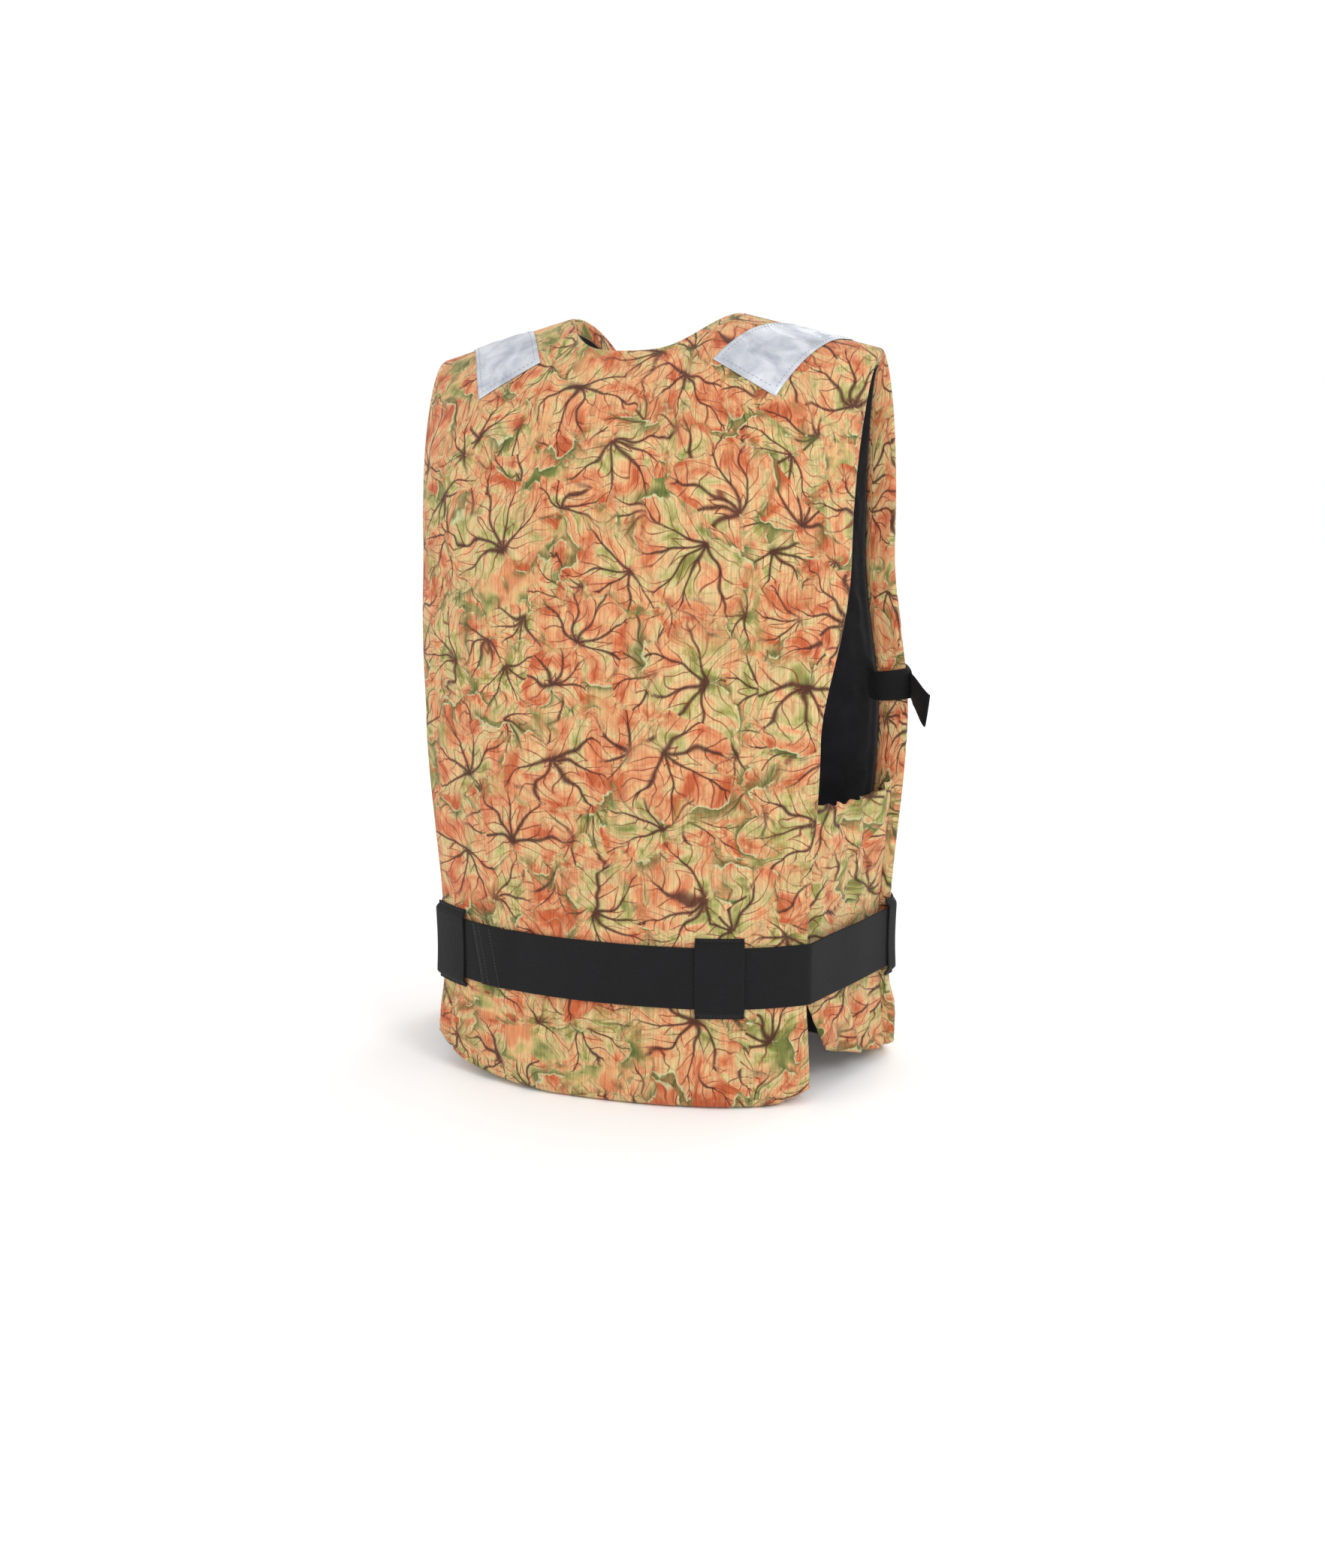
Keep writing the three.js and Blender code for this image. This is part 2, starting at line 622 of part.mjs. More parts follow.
function buckle(name, webbing, middleZ) {
  const half = webbing / 2 + buckleRim;
  const y = frontY - buckleLift - buckleThickness / 2;
  const inside = buckleThickness / 2 - buckleFaceWall;
  const fit = inside - 2 * clearance;
  const z = (value) => middleZ + value;
  const past = half + 1; // a cutting block that goes right through ends here
  // A block symmetric about the strap's middle line and the buckle's middle plane.
  const bar = (from, to, halfDepth, halfHeight) =>
    block([from, y - halfDepth, z(-halfHeight)], [to, y + halfDepth, z(halfHeight)]);
  const strapSlot = (from) => bar(from, from + slotSize, buckleThickness, webbing / 2 + slotSlack);
  const body = roundedPlate(socketFace, buckleLeft, z(-half), z(half), buckleCorner, y, buckleThickness);
  const socket = bar(0, socketFace + socketDepth, inside, half - buckleWall);
  const window = bar(windowFrom, windowTo, inside, past);
  const slot = strapSlot(buckleLeft - slotWall - slotSize);
  add(name + "_socket", cut(body, socket, window, slot), "plastic");

  const base = roundedPlate(buckleRight, plugFace, z(-half), z(half), buckleCorner, y, buckleThickness);
  const guide = bar(0, socketDepth - guideShort, fit, guideHalf);
  add(name + "_plug", join(cut(base, strapSlot(buckleRight + slotWall)), guide), "plastic");

  for (const [word, side] of [["upper", 1], ["lower", -1]]) {
    const out = half - buckleWall - 1;
    const outline = [
      [1.2, out - 5.5],
      [9.5, out - 5],
      [22, out - 3.5],
      [22.8, out - 1],
      [22.8, half - 0.6],
      [18, half + 0.4],
      [11.2, half - 0.4],
      [10.8, out],
      [2, out - 1.2],
    ];
    if (side < 0) outline.reverse();
    add(name + "_arm_" + word, plate(outline.map(([px, pz]) => [px, z(side * pz)]), y, 2 * fit), "plastic");
  }
}
buckle("waist_buckle", beltWidth, waistMiddle);
buckle("chest_buckle", strapWidth, strapMiddle);

// ---- Zip -------------------------------------------------------------------------------------------------
const zipY = frontY + zipSink;
const panelEdge = zipGap / 2 - clearance - 0.1;

for (const [word, side] of [["left", 1], ["right", -1]]) {
  const [nearX, farX] = [chainHalfWidth + clearance, panelEdge].map((x) => side * x).sort((a, b) => a - b);
  add("zip_tape_" + word, block([nearX, zipY - 0.6, zipBottom - 8], [farX, zipY + 0.6, zipTop]), "webbing");
  // The chain is a rail with a tooth at each pitch; the two sides are half a pitch apart.
  const outline = [[side * chainHalfWidth, zipBottom]];
  const offset = side > 0 ? 0 : toothPitch / 2;
  outline.push([side * 2, zipBottom]);
  for (let z = zipBottom + 2 + offset; z < zipTop - toothPitch / 2; z += toothPitch) {
    outline.push([side * 2, z], [side * chainSplit, z], [side * chainSplit, z + toothPitch / 2]);
    outline.push([side * 2, z + toothPitch / 2]);
  }
  outline.push([side * 2, zipTop], [side * chainHalfWidth, zipTop]);
  if (side > 0) outline.reverse();
  add("zip_teeth_" + word, plate(outline, zipY, chainThickness), "plastic");
}
const retainer = block([-4.6, zipY - 3, zipBottom - 9.5], [4.6, zipY + 3, zipBottom - clearance]);
const retainerSlot = block([-6, zipY - 1, zipBottom - 8.6], [6, zipY + 1, zipBottom]);
const retainerCore = block([-3, zipY - 1.5, zipBottom - 9], [3, zipY + 1.5, zipBottom - clearance]);
add("zip_retainer", join(cut(retainer, retainerSlot), retainerCore), "plastic");

const sliderZ = zipTop - sliderLength - 1;
const plateNear = chainThickness / 2 + sliderPlay;
const plateFar = plateNear + sliderPlate;
const bridgeFar = plateFar + bridgeRise;
const holeFar = plateFar + bridgeRoom;
const sliderPlates = [-1, 1].map((sign) => {
  const [a, b] = [sign * plateNear, sign * plateFar].sort((p, q) => p - q);
  const middle = zipY + (a + b) / 2;
  return roundedPlate(-sliderHalfWidth, sliderHalfWidth, sliderZ, sliderZ + sliderLength, 2, middle, b - a);
});
const postHalf = chainSplit - clearance;
const post = block(
  [-postHalf, zipY - plateNear - 0.5, sliderZ + postLow],
  [postHalf, zipY + plateNear + 0.5, sliderZ + postHigh],
);
const bridge = block(
  [-bridgeHalf, zipY - bridgeFar, sliderZ + bridgeLow],
  [bridgeHalf, zipY - plateFar + 0.5, sliderZ + bridgeHigh],
);
const bridgeHole = block(
  [-2 * bridgeHalf, zipY - holeFar, sliderZ + bridgeLow + bridgeWall],
  [2 * bridgeHalf, zipY - plateFar, sliderZ + bridgeHigh - bridgeWall],
);
add("zip_slider", join(cut(bridge, bridgeHole), ...sliderPlates, post), "plastic");

// The pull: a bar through the bridge, two legs and a tab, hanging down in front of the chain.
const pullBarY = zipY - (plateFar + holeFar) / 2;
const pullBarZ = sliderZ + pullHang;
const pullHalf = 0.7;
const pullTab = roundedPlate(-4, 4, pullBarZ - pullLength, pullBarZ + 1, 1, pullBarY, 2 * pullHalf);
const pullWindow = block([-2.1, pullBarY - 2, pullBarZ - 8], [2.1, pullBarY + 2, pullBarZ - 0.8]);
add("zip_pull", cut(pullTab, pullWindow), "plastic");

// ---- Pockets ---------------------------------------------------------------------------------------------
for (const [word, side] of [["left", 1], ["right", -1]]) {
  const at = (x, height) => skinAt(front, angleAt(front, side * x, height / chestHeight), height);
  const columns = steps(6, pocketInner, pocketOuter);
  const inner = steps(6, pocketInner + clothThickness, pocketOuter - clothThickness);
  const rows = steps(3, pocketBottom, pocketTop);
  const innerRows = steps(3, pocketBottom + clothThickness, pocketTop + 5);
  const pouch = slab(at, columns, rows, -pocketDepth, -clearance - 0.1);
  const hollow = slab(at, inner, innerRows, -pocketDepth + clothThickness, -clearance - 0.1 - clothThickness);
  add("pocket_" + word, cut(pouch, hollow), "camouflage");
  const flapNear = pocketDepth + 2 * clearance;
  const flapRows = steps(2, pocketTop + flapRise - flapDrop, pocketTop + flapRise);
  const flapColumns = steps(6, pocketInner - 3, pocketOuter + 3);
  const flapFront = slab(at, flapColumns, flapRows, -flapNear - flapThickness, -flapNear);
  const shelfRows = [pocketTop + flapRise - flapThickness, pocketTop + flapRise];
  const shelf = slab(at, flapColumns, shelfRows, -flapNear - flapThickness / 2, -3 * clearance);
  add("pocket_flap_" + word, join(flapFront, shelf), "camouflage");
}

// ---- Reflective patches ----------------------------------------------------------------------------------
for (const [word, side] of [["left", 1], ["right", -1]]) {
  // `over` runs from the back (-1) across the ridge (0) to the front (1).
  const at = (across, over) => {
    const face = over < 0 ? back : front;
    const lowest = over < 0 ? reflectorBackRise + reflectorSkew * (1 - across) : reflectorFrontRise;
    const rise = lerp(2, lowest, Math.abs(over));
    const end = Math.abs(outerPoint(back, backEdge(2), 2).x);
    const slant = reflectorSlant * Math.max(-over, 0);
    const x = end - reflectorInset - reflectorWidth * (1 - across) - slant;
    return skin(face, angleAt(face, side * x, rise), rise);
  };
  const shoulder = slab(at, steps(4), steps(12, -1, 1), -reflectorGap - reflectorThickness, -reflectorGap);
  add("shoulder_reflector_" + word, shoulder, "reflector");

  const chestAt = (angle, height) => skinAt(front, side * angle, height);
  const inner = angleAt(front, chestReflectorInner, chestReflectorBottom / chestHeight);
  const rows = [chestReflectorBottom, chestReflectorTop];
  const columns = steps(12, inner, frontEdgeAngle - 1);
  const chest = slab(chestAt, columns, rows, -reflectorGap - reflectorThickness, -reflectorGap);
  add("chest_reflector_" + word, chest, "reflector");
}

// The origin stands in the middle of the vest's footprint, at the hem.
const middle = new THREE.Box3().setFromObject(vest).getCenter(new THREE.Vector3());
vest.position.set(-middle.x, -middle.y, 0);

export default vest;
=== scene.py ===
import math

import bmesh
import bpy
import numpy as np
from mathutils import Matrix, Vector, noise
from mathutils.bvhtree import BVHTree


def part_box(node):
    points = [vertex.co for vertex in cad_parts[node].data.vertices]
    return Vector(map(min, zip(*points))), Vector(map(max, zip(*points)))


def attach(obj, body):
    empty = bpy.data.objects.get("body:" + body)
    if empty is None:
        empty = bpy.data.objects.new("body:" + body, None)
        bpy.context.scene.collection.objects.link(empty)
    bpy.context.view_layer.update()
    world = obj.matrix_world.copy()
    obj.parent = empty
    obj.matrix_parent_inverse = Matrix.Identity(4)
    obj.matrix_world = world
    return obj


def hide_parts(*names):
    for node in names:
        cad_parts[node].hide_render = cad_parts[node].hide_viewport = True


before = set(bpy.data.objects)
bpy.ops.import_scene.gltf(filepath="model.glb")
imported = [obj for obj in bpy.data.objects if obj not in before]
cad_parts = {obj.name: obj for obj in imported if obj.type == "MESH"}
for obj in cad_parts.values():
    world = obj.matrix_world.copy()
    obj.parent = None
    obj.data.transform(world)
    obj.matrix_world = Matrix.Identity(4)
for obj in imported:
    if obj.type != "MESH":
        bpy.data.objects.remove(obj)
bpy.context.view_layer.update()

MM = 0.001


# ---- Camera, floor and light ------------------------------------------------------------------------------
# The vest is seen from behind and a little to its right, from just above the shoulders, on a white sweep in
# an evenly lit studio.
def linear(code):
    """A colour given as sRGB hex, as the shaders take it."""
    parts = [int(code[k : k + 2], 16) / 255 for k in (1, 3, 5)]
    return (*[c / 12.92 if c <= 0.04045 else ((c + 0.055) / 1.055) ** 2.4 for c in parts], 1)


def node(tree, kind, inputs=(), **settings):
    """Adds a shader node. Its inputs are given in order or by name: a value, a node's output, or a node."""
    made = tree.nodes.new("ShaderNode" + kind)
    for name, value in settings.items():
        setattr(made, name, value)
    pairs = inputs.items() if isinstance(inputs, dict) else enumerate(inputs)
    for socket, value in pairs:
        if isinstance(value, bpy.types.Node):
            value = next(output for output in value.outputs if output.enabled)
        if isinstance(value, bpy.types.NodeSocket):
            tree.links.new(value, made.inputs[socket])
        elif value is not None:
            made.inputs[socket].default_value = value
    return made


def new_material(name):
    """An empty material and its Principled shader."""
    material = bpy.data.materials.new(name)
    material.use_nodes = True
    return material, material.node_tree, material.node_tree.nodes["Principled BSDF"]


slider_low, slider_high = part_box("zip_slider")
tape_low, tape_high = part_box("zip_tape_left")
widest_y = -25
front_depth = 98
pad_thickness = 26
front_y = widest_y - front_depth
zip_y = front_y + pad_thickness / 2
shift = np.array([
    (slider_low.x + slider_high.x) / 2 / MM,
    (tape_low.y + tape_high.y) / 2 / MM - zip_y,
    0,
])


def to_frame(points):
    return (np.asarray(points, float) + shift) * MM


camera_turn = math.radians(18)
camera_distance = 1650
camera_height = 620
focal_share = 1.318  # focal length as a share of the frame's height
aim_right, aim_down = 0.0075, 0.0456  # the axis passes this far right of and below the vest's middle
eye = Vector((-math.sin(camera_turn) * camera_distance, math.cos(camera_turn) * camera_distance, camera_height))
ahead = (Vector((0, 0, 310)) - eye).normalized()
rightwards = ahead.cross(Vector((0, 0, 1))).normalized()
aim = ahead + aim_right * rightwards - aim_down * rightwards.cross(ahead)
camera_data = bpy.data.cameras.new("camera")
camera_data.sensor_fit = "VERTICAL"
camera_data.sensor_height = 36
camera_data.lens = focal_share * camera_data.sensor_height
camera = bpy.data.objects.new("camera", camera_data)
camera.location = to_frame(eye)
camera.rotation_euler = aim.to_track_quat("-Z", "Y").to_euler()
bpy.context.scene.collection.objects.link(camera)
bpy.context.scene.camera = camera

bpy.ops.object.select_all(action="DESELECT")
bpy.ops.mesh.primitive_plane_add(size=30, location=(0, 0, -0.0005))
floor = bpy.context.object
floor.name = "floor"
white_paper, tree, shader = new_material("white_paper_sweep")
shader.inputs["Base Color"].default_value = linear("#FFFFFF")
shader.inputs["Roughness"].default_value = 1.0
shader.inputs["Specular IOR Level"].default_value = 0.0
floor.data.materials.append(white_paper)

world = bpy.data.worlds.new("studio")
world.use_nodes = True
world.node_tree.nodes["Background"].inputs["Color"].default_value = linear("#FFFFFF")
world.node_tree.nodes["Background"].inputs["Strength"].default_value = 1.0
bpy.context.scene.world = world
bpy.context.scene.view_settings.view_transform = "Standard"


def softbox(name, place, size, power):
    """A square lamp that faces the vest."""
    lamp = bpy.data.lights.new(name, "AREA")
    lamp.size = size
    lamp.energy = power
    holder = bpy.data.objects.new(name, lamp)
    holder.location = place
    holder.rotation_euler = (Vector((0, 0, 0.32)) - Vector(place)).to_track_quat("-Z", "Y").to_euler()
    bpy.context.scene.collection.objects.link(holder)


softbox("key_light", (-1.9, 1.6, 1.9), 1.0, 20)
softbox("fill_light", (1.8, 1.7, 1.2), 1.4, 7)
softbox("front_light", (-0.6, -2.3, 1.5), 1.4, 16)

# ---- Cloth-covered foam panels ----------------------------------------------------------------------------
# One back and two front slabs of closed-cell foam, 26 mm thick, each sewn into a cover of printed polyester.
# The cover is drawn tight at its edge seams and under the belt, so it swells a little in between.
half_width = 202
back_depth = 142
back_roundness = 2.25
front_roundness = 2.6
chest_height = 430
neck_height = 606
ridge_y = -28
shoulder_fall = 0.27
shoulder_lean = 0.035
neck_half_width = 69
back_neck_rise = 1.66
front_neck_rise = 1.24
clearance = 0.3
shoulder_thinness = 0.55
zip_gap = 14
front_edge_angle = 80
front_edge_shoulder_angle = 68
belt_bottom = 81
belt_width = 50
belt_top = belt_bottom + belt_width
strap_bottom = 305
strap_width = 25
strap_top = strap_bottom + strap_width
girth_stations = ((0, 1.01), (belt_bottom + belt_width / 2, 0.975), (290, 1.03), (chest_height, 0.96))
back_edge_stations = ((0, 49.5), (290 / chest_height, 50), (1, 65), (2, 69.5))
back, front = (back_depth, back_roundness, 1), (front_depth, front_roundness, -1)


def ease(value, low, high):
    share = np.clip((np.asarray(value, float) - low) / (high - low), 0, 1)
    return share * share * (3 - 2 * share)


def through(stations, position):
    """Eases through (position, value) stations."""
    position = np.asarray(position, float)
    found = np.full(position.shape, float(stations[-1][1]))
    for (start, low), (end, high) in reversed(list(zip(stations, stations[1:]))):
        found = np.where(position <= end, low + (high - low) * ease(position, start, end), found)
    return found


def girth(height):
    return through(girth_stations, height)


def outer_point(face, angle, rise):
    """A point on the outer face, at an angle from its middle.

    Rise is 0 at the hem, 1 at the chest and 2 on the ridge."""
    depth, roundness, sign = face
    angle, rise = np.broadcast_arrays(np.asarray(angle, float), np.asarray(rise, float))
    height = np.minimum(rise, 1) * chest_height
    turn = np.radians(angle)
    x = np.sign(angle) * half_width * girth(height) * np.abs(np.sin(turn)) ** (2 / roundness)
    swell = girth(height) if sign > 0 else 1
    low_y = widest_y + sign * depth * swell * np.abs(np.cos(turn)) ** (2 / roundness)
    over = np.maximum(rise - 1, 0) * math.pi / 2
    ridge = neck_height - shoulder_fall * np.maximum(np.abs(x) - neck_half_width, 0) - shoulder_lean * x
    z = np.where(rise <= 1, rise * chest_height, chest_height + (ridge - chest_height) * np.sin(over))
    return np.stack([x, ridge_y + (low_y - ridge_y) * np.cos(over), z], -1)


def angle_at(face, x, rise):
    breadth = half_width * girth(np.minimum(rise, 1) * chest_height)
    share = np.clip(np.abs(x) / breadth, 0, 1) ** (face[1] / 2)
    return np.sign(x) * np.degrees(np.arcsin(share))


def unit(vectors):
    return vectors / np.maximum(np.linalg.norm(vectors, axis=-1, keepdims=True), 1e-9)


def skin(face, angle, rise):
    """The outer face with its inward direction, which is level at the hem."""
    angle, rise = np.broadcast_arrays(np.asarray(angle, float), np.asarray(rise, float))
    point = outer_point(face, angle, rise)
    across = outer_point(face, angle + 1, rise) - outer_point(face, angle - 1, rise)
    along = outer_point(face, angle, rise + 0.01) - outer_point(face, angle, np.maximum(rise - 0.01, 0))
    inward = unit(np.cross(across, along))
    middle = np.stack([np.zeros(rise.shape), np.full(rise.shape, widest_y), np.minimum(point[..., 2], 215)], -1)
    inward *= np.where((inward * (middle - point)).sum(-1, keepdims=True) < 0, -1, 1)
    inward[..., 2] *= ease(rise * chest_height, 0, belt_bottom)
    return point, unit(inward)


def back_edge(rise):
    return through(back_edge_stations, rise)


def front_edge(rise):
    return front_edge_angle + (front_edge_shoulder_angle - front_edge_angle) * ease(rise, 1, 2)


def seamed(face, point, inward, rise):
    """The pads stand clear of the ridge seam and thin towards it."""
    point[..., 1] += np.where(rise > 1.999, face[2] * clearance, 0)
    return point, inward * (1 - (1 - shoulder_thinness) * ease(rise, 1.1, 2))[..., None]


def rise_at(v, top):
    return np.where(v <= 1, v, 1 + (top - 1) * (v - 1))


def back_panel(u, v):
    reach = np.abs(outer_point(back, np.abs(u) * back_edge(2.0), 2.0)[..., 0])
    top = back_neck_rise + (2 - back_neck_rise) * np.clip(reach / neck_half_width, 0, 1) ** 3.5
    rise = rise_at(v, top)
    return seamed(back, *skin(back, u * back_edge(rise), rise), rise)


def front_panel(side):
    def at(u, v):
        share = u**1.3
        reach = np.abs(outer_point(front, share * front_edge_shoulder_angle, 2.0)[..., 0])
        top = front_neck_rise + (2 - front_neck_rise) * np.clip(reach / neck_half_width, 0, 1) ** 1.6
        rise = rise_at(v, top)
        first = angle_at(front, zip_gap / 2, rise)
        return seamed(front, *skin(front, side * (first + (front_edge(rise) - first) * share), rise), rise)

    return at


def mesh_piece(name, points, faces, smooth=True):
    """An object from points in millimetres."""
    mesh = bpy.data.meshes.new(name)
    mesh.from_pydata(to_frame(points).tolist(), [], [list(map(int, face)) for face in faces])
    mesh.validate()
    piece = bpy.data.objects.new(name, mesh)
    bpy.context.scene.collection.objects.link(piece)
    mesh.shade_smooth() if smooth else mesh.shade_flat()
    return piece


def face_outwards(piece):
    """Turns a closed mesh's faces outwards."""
    shape = bmesh.new()
    shape.from_mesh(piece.data)
    bmesh.ops.recalc_face_normals(shape, faces=shape.faces)
    if shape.calc_volume(signed=True) < 0:
        bmesh.ops.reverse_faces(shape, faces=shape.faces)
    shape.to_mesh(piece.data)
    shape.free()


def paint_place(piece, places):
    """Keeps each point's place on the flat cloth, in metres, for a print or weave that follows the cloth."""
    layer = piece.data.attributes.new("cloth_place", "FLOAT_VECTOR", "POINT")
    layer.data.foreach_set("vector", np.asarray(places, np.float32).ravel())


def cloth_grid(at, low, high, spacing, levels):
    """Points of a panel, evenly spaced across, with their place on the flat cloth and distance to its edges."""
    fine = np.linspace(low, high, 241)
    samples = at(fine[None, :], levels[:, None])[0]
    arcs = np.concatenate([np.zeros((len(levels), 1)), np.linalg.norm(np.diff(samples, axis=1), axis=2)], 1)
    arcs = arcs.cumsum(1)
    total = arcs[:, -1]
    near = np.array([0, 1.2, 3, 6, 10])
    inside = np.linspace(0, 1, int(total.max() / spacing))[1:-1]
    across = np.array([np.concatenate([near, 10 + (t - 20) * inside, t - near[::-1]]) for t in total])
    u = np.array([np.interp(place, row, fine) for place, row in zip(across, arcs)])
    point, inward = at(u, levels[:, None])
    up = np.concatenate([np.zeros((1, u.shape[1])), np.linalg.norm(np.diff(point, axis=0), axis=2)]).cumsum(0)
    place = np.stack([across - total[:, None] / 2, up, np.zeros(up.shape)], -1)
    margins = dict(first=across, last=total[:, None] - across, low=up, top=up[-1:] - up)
    return point, inward, place, margins


def panel_levels(spacing):
    near = [0, 1.2, 3, 6]
    body = np.linspace(10, chest_height, int((chest_height - 10) / spacing))
    shoulder = 1 + np.linspace(0, 1, int(190 / spacing))[1:-1]
    ends = 1 + np.array([1 - 0.03, 1 - 0.016, 1 - 0.006, 1])
    return np.concatenate([
        np.array(near) / chest_height, body / chest_height, shoulder[shoulder < ends[0]], ends,
    ])


def rounding(distance, radius):
    """How far a rounded edge falls back, at a distance from the edge."""
    return radius - np.sqrt(np.maximum(radius**2 - np.maximum(radius - distance, 0) ** 2, 0))


def grid_faces(rows, columns, first=0, flip=False):
    faces = []
    for j in range(rows - 1):
        for i in range(columns - 1):
            k = first + j * columns + i
            face = (k, k + 1, k + columns + 1, k + columns)
            faces.append(face[::-1] if flip else face)
    return faces


def rim_of(rows, columns):
    """Indices round a grid's edge."""
    around = list(range(columns - 1))
    around += [j * columns + columns - 1 for j in range(rows - 1)]
    around += [(rows - 1) * columns + i for i in range(columns - 1, 0, -1)]
    return around + [j * columns for j in range(rows - 1, 0, -1)]


def closed_slab(name, outer, inner, rings=()):
    """A closed body between two grids of points, with rings of points between their edges."""
    rows, columns, _ = outer.shape
    layer = rows * columns
    rim = rim_of(rows, columns)
    points = [outer.reshape(-1, 3), inner.reshape(-1, 3)]
    faces = grid_faces(rows, columns) + grid_faces(rows, columns, layer, flip=True)
    chain = [np.array(rim)]
    for number, share in enumerate(rings):
        points.append(share)
        chain.append(2 * layer + number * len(rim) + np.arange(len(rim)))
    chain.append(layer + np.array(rim))
    for a, b in zip(chain, chain[1:]):
        faces += [(a[k - 1], a[k], b[k], b[k - 1]) for k in range(len(rim))]
    piece = mesh_piece(name, np.concatenate(points), faces)
    face_outwards(piece)
    return piece, rim


def wrinkle(points, size, seed):
    """A smooth random height, about -1 to 1, at points in millimetres."""
    return np.array([noise.noise(Vector(p) / size + Vector((seed, 2.7 * seed, -seed))) for p in points]) * 1.6


def simulate(piece, pinned, pressure):
    """Inflates a closed cloth cover that is held where it is sewn or strapped down.

    Returns how far each point moved."""
    group = piece.vertex_groups.new(name="sewn")
    for weight in np.unique(pinned[pinned > 0]):
        group.add(np.flatnonzero(pinned == weight).tolist(), float(weight), "REPLACE")
    cloth = piece.modifiers.new("cover", "CLOTH")
    cloth.settings.vertex_group_mass = "sewn"
    cloth.settings.quality = 4
    cloth.settings.mass = 0.25
    cloth.settings.tension_stiffness = 12
    cloth.settings.compression_stiffness = 12
    cloth.settings.shear_stiffness = 6
    cloth.settings.bending_stiffness = 0.6
    cloth.settings.use_pressure = True
    cloth.settings.uniform_pressure_force = pressure
    cloth.settings.effector_weights.gravity = 0
    scene = bpy.context.scene
    for step in range(1, 19):
        scene.frame_set(step)
    before = np.array([v.co for v in piece.data.vertices])
    shaped = piece.evaluated_get(bpy.context.evaluated_depsgraph_get())
    after = np.array([v.co for v in shaped.data.vertices])
    piece.modifiers.remove(cloth)
    piece.vertex_groups.remove(group)
    scene.frame_set(1)
    return (after - before) / MM


def set_points(piece, points):
    piece.data.vertices.foreach_set("co", np.asarray(points, np.float32).ravel())
    piece.data.update()


def blend_stops(ramp, stops):
    """Sets a colour ramp's stops, each a position and an sRGB hex colour."""
    elements = ramp.color_ramp.elements
    elements.remove(elements[0])
    for number, (position, code) in enumerate(stops):
        stop = elements[0] if number == 0 else elements.new(position)
        stop.position = position
        stop.color = linear(code)


